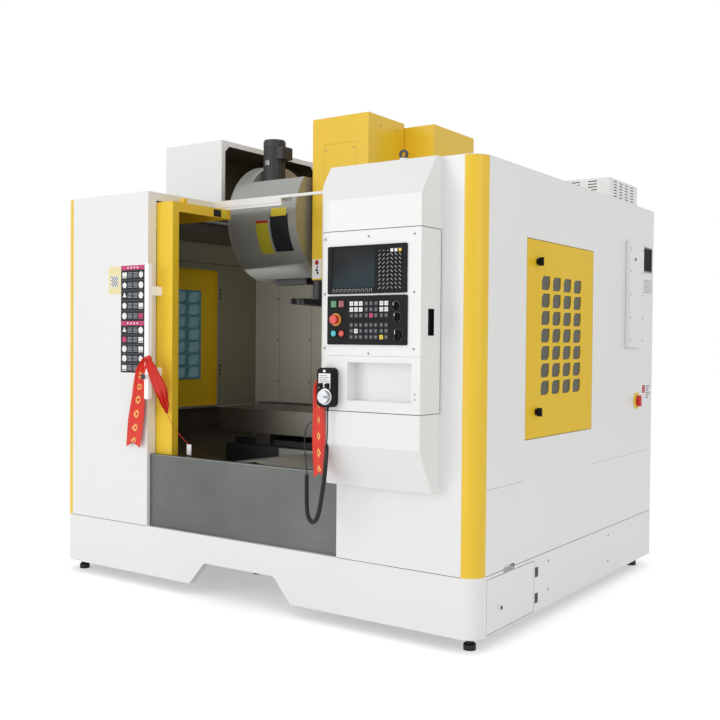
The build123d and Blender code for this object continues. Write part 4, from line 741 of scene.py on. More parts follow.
@dataclass
class PendantCord:
    """Curly cord of the hand wheel pendant: straight, coiled and straight again."""

    radius: float = 2.6
    coil_radius: float = 8.0
    turns: int = 104
    steps: int = 10
    taper: float = 0.12
    top: list[Triple] = field(
        default_factory=lambda: [
            (675, -185, 985),
            (675, -185, 940),
            (677, -187, 892),
            (674, -188, 846),
        ]
    )
    curl: list[Triple] = field(
        default_factory=lambda: [
            (674, -188, 846),
            (671, -188, 794),
            (666, -187, 740),
            (658, -185, 686),
            (647, -182, 632),
            (636, -180, 578),
            (622, -177, 530),
            (600, -172, 500),
            (570, -164, 497),
            (549, -157, 522),
            (540, -152, 566),
            (535, -147, 612),
            (531, -143, 658),
            (529, -139, 700),
        ]
    )
    end: list[Triple] = field(
        default_factory=lambda: [
            (529, -139, 700),
            (522, -134, 738),
            (510, -126, 776),
            (495, -113, 814),
            (481, -96, 848),
            (472, -79, 878),
            (470, -65, 905),
            (490, -55, 925),
            (520, -55, 925),
        ]
    )

    def spline(self, name: str, points: list[Vector], radius: float = 0.0) -> bpy.types.Object:
        """Make a smooth open curve that those points control.

        Args:
            name: Curve's name.
            points: Control points in metres.
            radius: Radius of the round cord about it in millimetres, or nought for a bare line.

        Returns:
            The curve's object.
        """
        data = bpy.data.curves.new(name, "CURVE")
        data.dimensions = "3D"
        made = data.splines.new("NURBS")
        made.points.add(len(points) - 1)
        for target, point in zip(made.points, points):
            target.co = (*point, 1.0)
        made.order_u = 3
        made.use_endpoint_u = True
        data.resolution_u = 4
        if radius:
            data.bevel_depth = radius * MM
            data.bevel_resolution = 2
            data.use_fill_caps = True
        curve = bpy.data.objects.new(name, data)
        bpy.context.scene.collection.objects.link(curve)
        return curve

    def taken(self, curve: bpy.types.Object) -> bpy.types.Mesh:
        """Return a curve's own mesh, and remove the curve."""
        bpy.context.view_layer.update()
        seen = curve.evaluated_get(bpy.context.evaluated_depsgraph_get())
        mesh = bpy.data.meshes.new_from_object(seen)
        bpy.data.objects.remove(curve)
        return mesh

    def points_of(self, curve: bpy.types.Object) -> list[Vector]:
        """Return the points along a bare curve, and remove the curve."""
        line = self.taken(curve)
        points = [vertex.co.copy() for vertex in line.vertices]
        bpy.data.meshes.remove(line)
        return points

    def helix(self, line: list[Vector]) -> list[Vector]:
        """Wind the cord about a line.

        Args:
            line: Points of the coil's middle line.

        Returns:
            Control points of the coil's turns.
        """
        runs = [0.0]
        for first, second in zip(line, line[1:]):
            runs.append(runs[-1] + (second - first).length)
        count = self.turns * self.steps
        wound: list[Vector] = []
        side = (line[1] - line[0]).orthogonal().normalized()
        index = 0
        for step in range(count + 1):
            place = runs[-1] * step / count
            while index < len(line) - 2 and runs[index + 1] < place:
                index += 1
            way = (line[index + 1] - line[index]).normalized()
            share = (place - runs[index]) / (runs[index + 1] - runs[index])
            middle = line[index].lerp(line[index + 1], share)
            side = (side - way * side.dot(way)).normalized()
            angle = math.tau * step / self.steps
            swell = min(1.0, self.taper + min(step, count - step) / self.steps / 2)
            out = side * math.cos(angle) + way.cross(side) * math.sin(angle)
            wound.append(middle + out * self.coil_radius * MM * swell)
        return wound

    def build(self) -> bpy.types.Object:
        top, curl, end = ([at(*p) for p in points] for points in (self.top, self.curl, self.end))
        coil = self.helix(self.points_of(self.spline("coil_line", curl)))
        points = [*top[:-1], *coil, *end[1:]]
        line = self.points_of(self.spline("cord_line", points))
        shell = self.taken(self.spline("cord_tube", points, self.radius))
        mesh = bmesh.new()
        mesh.from_mesh(shell)
        bpy.data.meshes.remove(shell)
        bmesh.ops.remove_doubles(mesh, verts=mesh.verts, dist=MERGE)
        bmesh.ops.recalc_face_normals(mesh, faces=mesh.faces)
        cord = settle(mesh, "curly_cord", None, RUBBER)
        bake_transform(cord)
        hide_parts("pendant_cord")
        return cord


class Facing(Enum):
    """Way that a flat face looks."""

    FRONT = 0
    RIGHT = 1
    LEFT = -1


@dataclass(frozen=True)
class Board:
    """Flat face that plates, labels and screws lie on."""

    facing: Facing
    place: float

    def plate(self, shape: Shape, u: Span, z: Span, proud: float, soft: float = 0.0) -> Shape:
        """Add a thin plate to the face.

        Args:
            shape: Piece to add to.
            u: Limits along the face: across on a front face, setback on a side face.
            z: Limits in height.
            proud: How far it stands out.
            soft: Rounding of its edges.

        Returns:
            The piece.
        """
        if self.facing is Facing.FRONT:
            return shape.block(u, (self.place - proud, self.place), z, soft)
        ends = sorted((self.place, self.place + self.facing.value * proud))
        return shape.block((ends[0], ends[1]), u, z, soft)

    def disc(
        self,
        shape: Shape,
        u: float,
        z: float,
        radius: float,
        proud: float,
        soft: float = 0.0,
        sides: int = 16,
    ) -> Shape:
        """Add a round disc to the face.

        Args:
            shape: Piece to add to.
            u: Place along the face.
            z: Height.
            radius: Disc's radius.
            proud: How far it stands out.
            soft: Rounding of its edges.
            sides: Faces around.

        Returns:
            The piece.
        """
        if self.facing is Facing.FRONT:
            ends = (u, self.place, z), (u, self.place - proud, z)
        else:
            ends = (self.place, u, z), (self.place + self.facing.value * proud, u, z)
        return shape.rod(*ends, radius, soft=soft, sides=sides)

    def frame(
        self,
        shape: Shape,
        inside: tuple[Span, Span],
        widths: Span,
        proud: float,
        soft: float = 0.0,
        corners: bool = True,
    ) -> None:
        """Add four bars round a rectangle.

        Args:
            shape: Piece to add to.
            inside: Limits of the rectangle along the face and in height.
            widths: Width of the uprights and of the rails.
            proud: How far they stand out.
            soft: Rounding of their edges.
            corners: Whether the uprights run past the rails.
        """
        (u0, u1), (z0, z1) = inside
        wide, high = widths
        over = high if corners else 0.0
        for u in ((u0 - wide, u0), (u1, u1 + wide)):
            self.plate(shape, u, (z0 - over, z1 + over), proud, soft)
        for z in ((z0 - high, z0), (z1, z1 + high)):
            self.plate(shape, (u0, u1), z, proud, soft)

    def screws(
        self,
        name: str,
        places: list[Span],
        body: str,
        radius: float = 5.0,
        finish: Finish = SCREW,
    ) -> None:
        """Set low round screw heads on the face, each with a sunk drive.

        Args:
            name: Piece's name.
            places: Place along the face and height of each.
            body: CAD body that they move with.
            radius: Radius of a head.
            finish: Their surface.
        """
        heads, drives = Shape(name), Shape(name + "_drives")
        for u, z in places:
            self.disc(heads, u, z, radius, 1.6, soft=0.6, sides=14)
            self.disc(drives, u, z, radius * 0.42, 1.8, sides=6)
        heads.done(body, finish)
        drives.done(body, SHADOW)


@dataclass
class Panels:
    """Trim of the sheet metal enclosure: seams, screws, vents, hinges and small labels."""

    seam: float = 2.4
    seam_height: float = 315.0
    cabinet: Span = (-1226.0, -634.0)
    control_panel: Span = (592.0, 1226.0)
    side: Span = (78.0, 2126.0)
    gap_depth: float = 0.25
    wall_joint: Span = (672.0, 673.2)
    wall_joints: tuple[Span, ...] = ((78.0, 430.0), (1216.0, 2126.0))
    hinge_leaf: Span = (558.0, 586.0)
    hinge_heights: Span = (243.0, 125.0)
    base_studs: tuple[Span, ...] = ((703.0, 271.0), (703.0, 138.0), (1465.0, 272.0), (1465.0, 134.0))
    base_lock: Span = (202.0, 163.0)
    gauge: tuple[Span, Span] = ((1949.0, 2087.0), (1701.0, 1827.0))
    grille: tuple[Span, Span] = ((1925.0, 2105.0), (1574.0, 1652.0))
    grille_cells: tuple[int, int] = (8, 14)
    service: tuple[Span, Span] = ((1675.0, 1895.0), (1262.0, 1845.0))
    service_proud: float = 25.0
    switch_label: tuple[Span, Span] = ((1956.0, 2106.0), (964.0, 1057.0))
    guard_setback: float = 1612.0
    guard_seams: tuple[float, ...] = (-1086.0, -811.0, 560.0, 811.0, 1086.0)
    guard_heights: Span = (872.0, 2044.0)
    guard_screws: tuple[float, ...] = (1010.0, 1290.0, 1570.0, 1850.0)
    wall_bolt_setback: float = 1252.0
    wall_bolts: Span = (1090.0, 1590.0)
    wall_sheet: float = 3.0
    # Spans of the left wall's inside that are covered with painted shade.
    shaded_wall_spans: tuple[tuple[Span, Span], ...] = (
        ((60.0, 430.0), (850.0, 2045.0)),
        ((1216.0, 1609.0), (850.0, 2045.0)),
        ((430.0, 1216.0), (1755.0, 2045.0)),
    )
    stop_depth: float = 28.0
    stop_inside: tuple[Span, Span] = ((447.0, 1199.0), (864.0, 1738.0))
    stop_width: float = 15.0
    gusset: float = 34.0
    eye: Triple = (943.0, -22.0, 2075.0)
    eye_radii: Span = (11.4, 20.7)
    eye_half: float = 4.7
    switch: Span = (1870.0, 965.0)

    def build(self) -> None:
        """Make every piece of the trim."""
        self.seams()
        self.side_fittings()
        self.service_fittings()
        self.inner_fittings()
        self.shade_sheets()
        self.hood_gussets()
        self.lifting_eye()
        self.switch_collar()

    def seams(self) -> None:
        """Mark the joints between panels with narrow dark gaps."""
        front, right, left = Board(Facing.FRONT, 0.0), Board(Facing.RIGHT, SIDE), Board(Facing.LEFT, -SIDE)
        low, high = self.seam_height - self.seam / 2, self.seam_height + self.seam / 2
        gaps = Shape("panel_gaps")
        for span in (self.cabinet, self.control_panel):
            front.plate(gaps, span, (low, high), self.gap_depth)
        for board in (right, left):
            board.plate(gaps, self.side, (low, high), self.gap_depth)
        (x0, x1), (face, _), (_, top) = limits("front_apron")
        edge = Shape("apron_edge")
        Board(Facing.FRONT, face).plate(edge, (x0 + 2.0, x1 - 2.0), (top - 4.0, top - 0.5), 0.3)
        joints = Shape("wall_joints")
        for board in (right, left):
            for s in self.wall_joints:
                board.plate(joints, s, self.wall_joint, 0.2)
        dress("root", {gaps: SHADOW, edge: SCREW, joints: LABEL_GREY})

    def side_fittings(self) -> None:
        """Make the base door's hinge leaves, studs and lock, and the switch label on the right side."""
        board = Board(Facing.RIGHT, SIDE)
        leaves = Shape("base_hinge_leaves")
        for z in self.hinge_heights:
            board.plate(leaves, self.hinge_leaf, (z - 22.0, z + 22.0), 3.0, soft=1.0)
            board.disc(leaves, sum(self.hinge_leaf) / 2, z, 6.0, 5.0, soft=1.0)
        for s, z in self.base_studs:
            board.plate(leaves, (s - 4.0, s + 4.0), (z - 4.0, z + 4.0), 1.5, soft=0.5)
        leaves.done("root", BLACK, "black_paint")
        lock = Shape("base_door_lock")
        Board(Facing.RIGHT, SIDE + 12.0).disc(lock, *self.base_lock, 8.0, 3.0, soft=1.0)
        lock.done("base_door", BLACK, "black_paint")
        label, fields, bars = (Shape("switch_label" + part) for part in ("", "_field", "_bars"))
        (s0, s1), (z0, z1) = self.switch_label
        board.plate(label, (s0, s1), (z0, z1), 0.4)
        board.plate(fields, (s0 + 8, s0 + 56), (z1 - 52, z1 - 8), 0.6)
        for step in range(6):
            end = s1 - 10 - 14 * (step % 3)
            board.plate(bars, (s0 + 68, end), (z1 - 18 - step * 13, z1 - 12 - step * 13), 0.6)
        dress("root", {label: LABEL_WHITE, fields: LABEL_RED, bars: LABEL_GREY})

    def service_fittings(self) -> None:
        """Make the gauge window, the grille and the service cover's screws."""
        board = Board(Facing.RIGHT, SIDE)
        window, surround = Shape("gauge_window"), Shape("gauge_frame")
        board.plate(window, *self.gauge, 1.5)
        board.frame(surround, self.gauge, (8.0, 8.0), 5.0, soft=1.2)
        grille, edges = Shape("wall_grille"), Shape("service_edges")
        (s0, s1), (z0, z1) = self.grille
        rows, columns = self.grille_cells
        for row in range(rows):
            for column in range(columns):
                s = s0 + (column + 0.5) * (s1 - s0) / columns
                z = z0 + (row + 0.5) * (z1 - z0) / rows
                board.plate(grille, (s - 4.2, s + 4.2), (z - 1.6, z + 1.6), 0.3)
        board.frame(edges, self.service, (2.5, 2.5), 0.3, corners=False)
        dress("root", {window: GLASS_DARK, surround: LABEL_GREY, grille: SHADOW, edges: LABEL_GREY})
        (s0, s1), (z0, z1) = self.service
        cover = Board(Facing.RIGHT, SIDE + self.service_proud)
        dot = Shape("service_sight")
        cover.disc(dot, s0 + 84.0, z1 - 96.0, 9.0, 2.5, soft=0.8)
        dot.done("root", BLACK, "black_paint")
        places = [(s0 + 14.0, z0 + 40.0 + step * (z1 - z0 - 80.0) / 4) for step in range(5)]
        places += [(s1 - 14.0, z) for _, z in places]
        cover.screws("service_screws", places, "root", 4.5)

    def inner_fittings(self) -> None:
        """Make the seams and screws of the walls inside the working space."""
        guard = Board(Facing.FRONT, self.guard_setback)
        lines = Shape("guard_seams")
        places = []
        for x in self.guard_seams:
            guard.plate(lines, (x - 1.2, x + 1.2), self.guard_heights, 0.3)
            places += [(x - 16.0, z) for z in self.guard_screws]
        lines.done("root", LABEL_GREY)
        guard.screws("guard_screws", places, "root", 7.0)
        inner = SIDE - self.wall_sheet
        holes = [(self.wall_bolt_setback, z + step) for z in self.wall_bolts for step in (-26.0, 0.0, 26.0)]
        for name, board in (("left", Board(Facing.RIGHT, -inner)), ("right", Board(Facing.LEFT, inner))):
            board.screws(name + "_wall_bolts", holes, "root", 8.0, SHADOW)

    def shade_sheets(self) -> None:
        """Paint shade on the insides of the left wall and the magazine hood with dark sheets, and set the
        dark header over the wall.
        """
        wall, hood, header = Shape("wall_shade_sheet"), Shape("hood_shade_sheet"), Shape("wall_header")
        inner = self.wall_sheet - SIDE
        face, stop = Board(Facing.RIGHT, inner), Board(Facing.RIGHT, self.stop_depth - SIDE)
        # Dark olive sheets on the left wall's inside and round its door stop: painted shade.
        for s, z in self.shaded_wall_spans:
            face.plate(wall, s, z, 0.5)
        stop.frame(wall, self.stop_inside, (self.stop_width, self.stop_width), 0.5)
        (near, _), (z0, z1) = self.stop_inside
        edge = near - self.stop_width
        reach = (z0 - self.stop_width, z1 + self.stop_width)
        wall.block((inner, self.stop_depth + 0.5 - SIDE), (edge - 1.0, edge), reach)
        header.block((inner + 0.6, inner + 11.0), (600.0, 1605.0), (1914.0, 2045.0), soft=2.0)
        header.block((inner + 0.6, inner + 2.0), (440.0, 1605.0), (1781.0, 1786.0))
        (x0, x1), (s0, s1), (z0, z1) = limits("magazine_hood")
        x, s, z = (x0 + 3.1, x1 - 3.5), (s0 + 3.1, s1 - 3.1), (z0 + 3.5, z1 - 3.1)
        # Darker sheets inside the magazine hood: painted shade.
        hood.block((x[0], x[0] + 0.5), s, z)
        hood.block(x, s, (z[1] - 0.5, z[1]))
        hood.block(x, (s[1] - 0.5, s[1]), z)
        dress("root", {wall: WALL_SHADE, hood: HOOD_SHADE, header: HEADER})

    def hood_gussets(self) -> None:
        """Fill the upper corners of the magazine hood's open end with slanted gussets."""
        (_, x), (near, far), (_, top) = limits("magazine_hood")
        top -= 30.0
        gussets = Shape("hood_gussets")
        for corner, way in ((near + 30.0, 1), (far - 30.0, -1)):
            outline = ((corner, top), (corner + way * self.gusset, top), (corner, top - self.gusset))
            near = [gussets.mesh.verts.new(at(x - 2.8, *point)) for point in outline]
            face = gussets.mesh.faces.new(near)
            made = bmesh.ops.extrude_face_region(gussets.mesh, geom=[face])
            for vertex in made["geom"]:
                if isinstance(vertex, bmesh.types.BMVert):
                    vertex.co.x += 2.6 * MM
        gussets.done("root", WHITE, "white_paint")

    def lifting_eye(self) -> None:
        """Make the lifting eye's ring in black paint."""
        ring = Shape("lifting_eye")
        inner, outer = self.eye_radii
        half = self.eye_half
        profile = [(inner, -half), (outer, -half), (outer, half), (inner, half), (inner, -half)]
        ring.turned(profile, self.eye, (0.0, 1.0, 0.0), 36)
        ring.done("root", BLACK, "black_paint")

    def switch_collar(self) -> None:
        """Make the main switch's yellow collar."""
        collar = Shape("switch_collar")
        profile = [(31.0, 0.0), (46.0, 0.0), (46.0, 5.0), (43.0, 8.0), (31.0, 8.0), (31.0, 0.0)]
        collar.turned(profile, (SIDE, *self.switch), (1.0, 0.0, 0.0), 40)
        collar.done("root", LABEL_YELLOW)


@dataclass
class Placards:
    """Plain plates of colour on the left cabinet, the drum, the head cover and the left door."""

    plate_x: Span = (-837.0, -658.0)
    plate_z: Span = (1110.0, 1673.0)
    bars: tuple[Span, Span] = ((1650.0, 1673.0), (1358.0, 1381.0))
    upper_rows: int = 5
    lower_rows: int = 5
    rosy_marks: tuple[int, int] = (1, 16)
    tag_x: Span = (-935.0, -839.0)
    tag_z: Span = (1524.0, 1671.0)
    mark: tuple[int, ...] = (20, 4, 6, 4, 3, 20, 5)
    mark_half: float = 17.0
    words: tuple[float, ...] = (-11.0, -3.5, 4.0, 11.5)
    cell: float = 9.0
    drum: tuple[float, Span] = (344.0, (1035.0, 1983.0))
    head_seam: tuple[Span, Span] = ((-108.0, 108.0), (1760.0, 2370.0))
    door_marks: tuple[Span, Span, Span] = ((361.0, 420.0), (420.0, 470.0), (1954.0, 1993.0))

    def build(self) -> None:
        """Make every plate."""
        self.cabinet_plate()
        self.cabinet_tag()
        self.drum_plates()
        self.head_plate()
        self.door_plate()

    def cabinet_plate(self) -> None:
        """Make the tall dark plate with its two columns of plain shapes."""
        board = Board(Facing.FRONT, 0.0)
        ground, bars = Shape("cabinet_plate"), Shape("cabinet_plate_bars")
        marks, lines = Shape("cabinet_plate_marks"), Shape("cabinet_plate_lines")
        rosy, words = Shape("cabinet_plate_rosy"), Shape("cabinet_plate_words")
        left, right = self.plate_x
        board.plate(ground, self.plate_x, self.plate_z, 0.5)
        for z in self.bars:
            board.plate(bars, (left + 1, right - 1), z, 0.7)
            for step in (-1.5, -0.5, 0.5, 1.5):
                board.disc(marks, (left + right) / 2 + step * 24.0, sum(z) / 2, 5.5, 0.9, sides=6)
        count = 0
        for low, high, rows in (
            (self.bars[1][1], self.bars[0][0], self.upper_rows),
            (self.plate_z[0], self.bars[1][0], self.lower_rows),
        ):
            pitch = (high - low) / rows
            for row in range(rows):
                z = low + (row + 0.5) * pitch
                for x in (left + 27.0, right - 27.0):
                    self.add_mark(board, rosy if count in self.rosy_marks else marks, x, z, count)
                    count += 1
                for x in ((left + 52.0, left + 85.0), (right - 85.0, right - 52.0)):
                    for step in self.words:
                        board.plate(words, x, (z + step - 1.3, z + step + 1.3), 0.7)
                if row:
                    board.plate(lines, (left + 4, right - 4), (z - pitch / 2 - 0.8, z - pitch / 2 + 0.8), 0.7)
        dress("root", {ground: LABEL_DARK, bars: LABEL_ROSE, rosy: LABEL_ROSE})
        dress("root", {words: LEGEND, marks: LABEL_WHITE, lines: LABEL_GREY})

    def add_mark(self, board: Board, shape: Shape, x: float, z: float, index: int) -> None:
        """Add one plain mark: a disc, a barred square, a hexagon, a triangle or a pentagon in turn.

        Args:
            board: Face that it lies on.
            shape: Piece to add to.
            x: Middle across.
            z: Middle height.
            index: Counts the marks, and picks the form.
        """
        sides = self.mark[index % len(self.mark)]
        if sides == 4:
            for low, high in ((-8.0, 14.0), (-16.0, -11.0)):
                board.plate(shape, (x - self.mark_half, x + self.mark_half), (z + low, z + high), 0.8)
        else:
            board.disc(shape, x, z, 17.5, 0.8, sides=sides)

    def cabinet_tag(self) -> None:
        """Make the pale tag beside the plate, with a plain chequered square."""
        board = Board(Facing.FRONT, 0.0)
        tag, panel, cells = Shape("cabinet_tag"), Shape("cabinet_tag_panel"), Shape("cabinet_tag_cells")
        board.plate(tag, self.tag_x, self.tag_z, 0.4)
        middle = (sum(self.tag_x) / 2, sum(self.tag_z) / 2)
        board.plate(panel, (middle[0] - 30, middle[0] + 30), (middle[1] - 36, middle[1] + 24), 0.6)
        for column in range(6):
            for row in range(6):
                if (column + row) % 2:
                    x, z = middle[0] - 27 + column * self.cell, middle[1] - 33 + row * self.cell
                    board.plate(cells, (x, x + self.cell), (z, z + self.cell), 0.7)
        dress("root", {tag: LABEL_CREAM, panel: LABEL_WHITE, cells: LABEL_GREY})

    def drum_plates(self) -> None:
        """Make the curved plates on the magazine's drum."""
        radius, axis = self.drum
        for name, x, angles, finish, thick in (
            ("drum_plate_black", (-399.0, -270.0), (-34.5, 1.0), LABEL_DARK, 1.0),
            ("drum_plate_yellow", (-391.0, -283.0), (-0.4, 7.3), LABEL_YELLOW, 2.0),
            ("drum_plate_olive", (-505.0, -416.0), (-36.3, -5.8), LABEL_OLIVE, 1.0),
            ("drum_plate_red", (-505.0, -416.0), (-5.8, -3.6), LABEL_RED, 1.0),
        ):
            Shape(name).wrapped(x, angles, radius, axis, thick).done("root", finish)

    def head_plate(self) -> None:
        """Make the small plate low on the head cover."""
        (_, flank), (face, _), _ = limits("head_cover")
        board = Board(Facing.FRONT, face)
        ground, band, marks = Shape("head_plate"), Shape("head_plate_band"), Shape("head_plate_marks")
        board.plate(ground, (-185.0, -122.0), (1633.0, 1740.0), 0.5)
        board.disc(band, -154.0, 1722.0, 14.0, 0.8, sides=24)
        for x, z, sides in ((-150.0, 1697.0, 3), (-154.0, 1680.0, 6), (-148.0, 1664.0, 4)):
            board.disc(marks, x, z, 9.0, 0.8, sides=sides)
        seam = Shape("head_seam")
        (left, right), (low, high) = self.head_seam
        board.plate(seam, (left, right), (high - 1.6, high), 0.2)
        for x in (left, right - 1.4):
            board.plate(seam, (x, x + 1.4), (low, high - 1.6), 0.2)
        dress("head", {ground: LABEL_WHITE, band: LABEL_RED, marks: LABEL_DARK, seam: SEAM_YELLOW})
        board.screws("head_screws", [(x, z) for z in (2337.0, 1800.0) for x in (-93.0, 93.0)], "head", 4.5)
        side = Board(Facing.RIGHT, flank)
        side.screws("head_side_screws", [(927.0, 2462.0), (1085.0, 2462.0)], "head", 4.5)

    def door_plate(self) -> None:
        """Make the two tone plate on the end of the left door's roof piece."""
        board = Board(Facing.RIGHT, limits("left_door")[0][1])
        near, far, heights = self.door_marks
        dark = board.plate(Shape("door_plate_dark"), near, heights, 0.5)
        light = board.plate(Shape("door_plate_light"), far, heights, 0.5)
        dress("left_door", {dark: LABEL_DARK, light: LABEL_YELLOW})


@dataclass
class ControlFace:
    """Screen, key caps, dials and screws of the operator's control."""

    proud: float = 6.0
    key_proud: float = 7.5
    screen_sink: float = 2.0
    screen_x: Span = (679.0, 897.0)
    screen_z: Span = (1507.0, 1680.0)
    groups: tuple[tuple[float, int], ...] = ((773.0, 3), (849.0, 3), (925.0, 2))
    blocks: tuple[float, float] = (1293.0, 1383.0)
    key: float = 19.0
    pitch: Span = (24.0, 25.0)
    pad: tuple[float, float, int, int] = (916.0, 1499.0, 6, 10)
    pad_pitch: Span = (20.0, 17.0)
    pad_key: float = 14.0
    soft_keys: tuple[float, float, int, float] = (683.0, 1490.0, 10, 21.0)
    knobs: tuple[tuple[str, Triple], ...] = (
        ("mode_knob", (1004.0, 1430.0, 15.0)),
        ("feed_knob", (1009.0, 1386.0, 15.0)),
        ("spindle_knob", (1012.0, 1312.0, 19.0)),
    )
    ticks: int = 13
    tick_step: float = 22.5
    stop: Span = (701.0, 1376.0)
    round_buttons: tuple[Span, ...] = ((690.0, 1317.0), (731.0, 1317.0))
    square_buttons: Span = (690.0, 730.0)
    square_inside: tuple[float, Span] = (14.6, (1427.0, 1457.0))
    screw_grid: tuple[tuple[float, ...], Span] = ((1720.0, 1486.0, 1255.0), (637.0, 1088.0))
    recess: tuple[Span, Span, Span] = ((1105.6, 1120.4), (-103.6, -56.4), (1310.4, 1419.6))
    recess_sheet: float = 1.2
    pendant_face: float = 12.0
    pendant_label: tuple[tuple[Span, Span], ...] = (
        ((640.0, 703.0), (1106.0, 1147.0)),
        ((699.0, 703.0), (1081.0, 1106.0)),
        ((664.0, 679.0), (1087.0, 1106.0)),
        ((640.0, 644.0), (1083.0, 1106.0)),
    )
    pendant_badge: tuple[Span, Span] = ((664.0, 677.0), (1152.0, 1162.0))
    wheel: Span = (675.0, 1048.0)

    def build(self) -> None:
        """Make every piece of the control's face."""
        self.face = Board(Facing.FRONT, CONTROL_FACE - self.proud)
        self.caps = Board(Facing.FRONT, CONTROL_FACE - self.key_proud)
        self.screen()
        self.keys()
        self.key_pad()
        self.buttons()
        self.knob_marks()
        self.door_fittings()
        self.pendant()

    def screen(self) -> None:
        """Lay the display's glass in its recess."""
        glass = Shape("display_glass_plate")
        board = Board(Facing.FRONT, CONTROL_FACE - self.proud + self.screen_sink)
        across, up = ((low + 1.0, high - 1.0) for low, high in (self.screen_x, self.screen_z))
        board.plate(glass, across, up, 0.6, soft=0.2)
        glass.done("control_door", DISPLAY)

    def key_places(self) -> list[tuple[float, float, int, int, int]]:
        """Return the corner, group, column and row of every key on the lower panel."""
        places = []
        for block, bottom in enumerate(self.blocks):
            for group, (left, columns) in enumerate(self.groups):
                for column in range(columns):
                    for row in range(3):
                        place = (left + column * self.pitch[0], bottom + row * self.pitch[1])
                        places.append((*place, group, column, row + 3 * block))
        return places

    def key_finish(self, group: int, column: int, row: int) -> Finish:
        """Return the cap colour of a key.

        Args:
            group: Group from the left.
            column: Column in its group.
            row: Row from the bottom of both blocks.

        Returns:
            The cap's finish.
        """
        special = {(1, 1, 3): LABEL_ROSE, (0, 1, 1): LABEL_WHITE, (2, 0, 0): LABEL_YELLOW}
        if row >= 4 and group != 1:
            return LABEL_WHITE
        return special.get((group, column, row), KEY_DARK)

    def keys(self) -> None:
        """Cap every key of the lower panel, and mark each with a plain legend."""
        finishes = (LABEL_WHITE, LABEL_ROSE, LABEL_YELLOW, KEY_DARK)
        caps = {finish.name: (finish, Shape("caps_" + finish.name)) for finish in finishes}
        pale, dark = Shape("key_legends_pale"), Shape("key_legends_dark")
        for x, z, group, column, row in self.key_places():
            finish = self.key_finish(group, column, row)
            cap = caps[finish.name][1]
            self.caps.plate(cap, (x + 0.5, x + self.key - 0.5), (z + 0.5, z + self.key - 0.5), 0.9, soft=0.4)
            ink = pale if finish is KEY_DARK else dark
            middle = (x + self.key / 2, z + self.key / 2)
            width = 3.0 + 1.5 * ((column + row) % 3)
            for half, low in ((width, 1.0), (3.0, -3.6)):
                bar = (middle[1] + low, middle[1] + low + 1.6)
                self.caps.plate(ink, (middle[0] - half, middle[0] + half), bar, 1.1)
        dress("control_door", {shape: finish for finish, shape in caps.values()})
        dress("control_door", {pale: LEGEND, dark: LABEL_DARK})

    def key_pad(self) -> None:
        """Mark the keys beside the screen and the soft keys under it."""
        pale, white, yellow = Shape("pad_legends"), Shape("pad_caps_white"), Shape("pad_caps_yellow")
        left, bottom, columns, rows = self.pad
        for column in range(columns):
            for row in range(rows):
                x, z = left + column * self.pad_pitch[0], bottom + row * self.pad_pitch[1]
                if row == rows - 1 and column >= 3:
                    target = yellow if column == columns - 1 else white
                    edge = self.pad_key - 0.4
                    self.caps.plate(target, (x + 0.4, x + edge), (z + 0.4, z + edge), 0.8, soft=0.3)
                    continue
                if row == rows - 1:
                    self.caps.plate(pale, (x + 3.0, x + 11.0), (z + 6.0, z + 8.0), 0.2)
                    continue
                slope = 1 if column < 3 else -1
                for step in (-1, 0, 1):
                    cx, cz = x + 7.0 + slope * step * 3.6, z + 7.0 + step * 3.2
                    self.caps.plate(pale, (cx - 2.2, cx + 2.2), (cz - 1.4, cz + 1.4), 0.2)
        start, low, count, pitch = self.soft_keys
        for index in range(count):
            x = start + index * pitch
            for left_edge in (x, x + 12.0):
                self.caps.plate(pale, (left_edge, left_edge + 1.6), (low, low + 12.0), 0.2)
            self.caps.plate(pale, (x, x + 13.6), (low + 12.0, low + 13.6), 0.2)
        dress("control_door", {pale: LEGEND, white: LABEL_WHITE, yellow: LABEL_YELLOW})

    def buttons(self) -> None:
        """Make the stop button's yellow collar and the bezels of the other buttons."""
        collar, bezels = Shape("stop_collar"), Shape("button_bezels")
        face = CONTROL_FACE - self.proud
        rim = [(11.0, 0.0), (27.0, 0.0), (27.0, 3.0), (24.6, 5.5), (22.0, 5.5)]
        profile = [*rim, (21.0, 3.4), (12.0, 3.4), (11.0, 0.0)]
        collar.turned(profile, (self.stop[0], face, self.stop[1]), (0.0, -1.0, 0.0))
        ring = [(13.6, 0.0), (17.5, 0.0), (17.0, 3.2), (14.0, 3.6), (13.6, 0.0)]
        for x, z in self.round_buttons:
            bezels.turned(ring, (x, face, z), (0.0, -1.0, 0.0), 24)
        half, heights = self.square_inside
        for x in self.square_buttons:
            self.face.frame(bezels, ((x - half, x + half), heights), (3.4, 3.0), 3.0, soft=0.8)
        collar.done("control_door", ORANGE)
        bezels.done("control_door", DARK_PLASTIC, "black_plastic")

    def knob_marks(self) -> None:
        """Draw the scale round each knob, and the pointer on its ridge."""
        ticks = Shape("knob_scales")
        for index, (body, (x, z, radius)) in enumerate(self.knobs):
            for step in range(self.ticks):
                angle = math.radians(-45 + step * self.tick_step)
                reach = radius + 5.0
                u, v = x + math.cos(angle) * reach, z + math.sin(angle) * reach
                self.face.disc(ticks, u, v, 1.3, 0.4, sides=6)
            pointer = Shape(f"knob_pointer_{index}")
            ridge = Board(Facing.FRONT, limits(body)[1][0])
            ridge.plate(pointer, (x - 1.2, x + 1.2), (z + 2.0, z + radius - 1.0), 0.4)
            pointer.done(body, LABEL_WHITE)
        ticks.done("control_door", LEGEND)

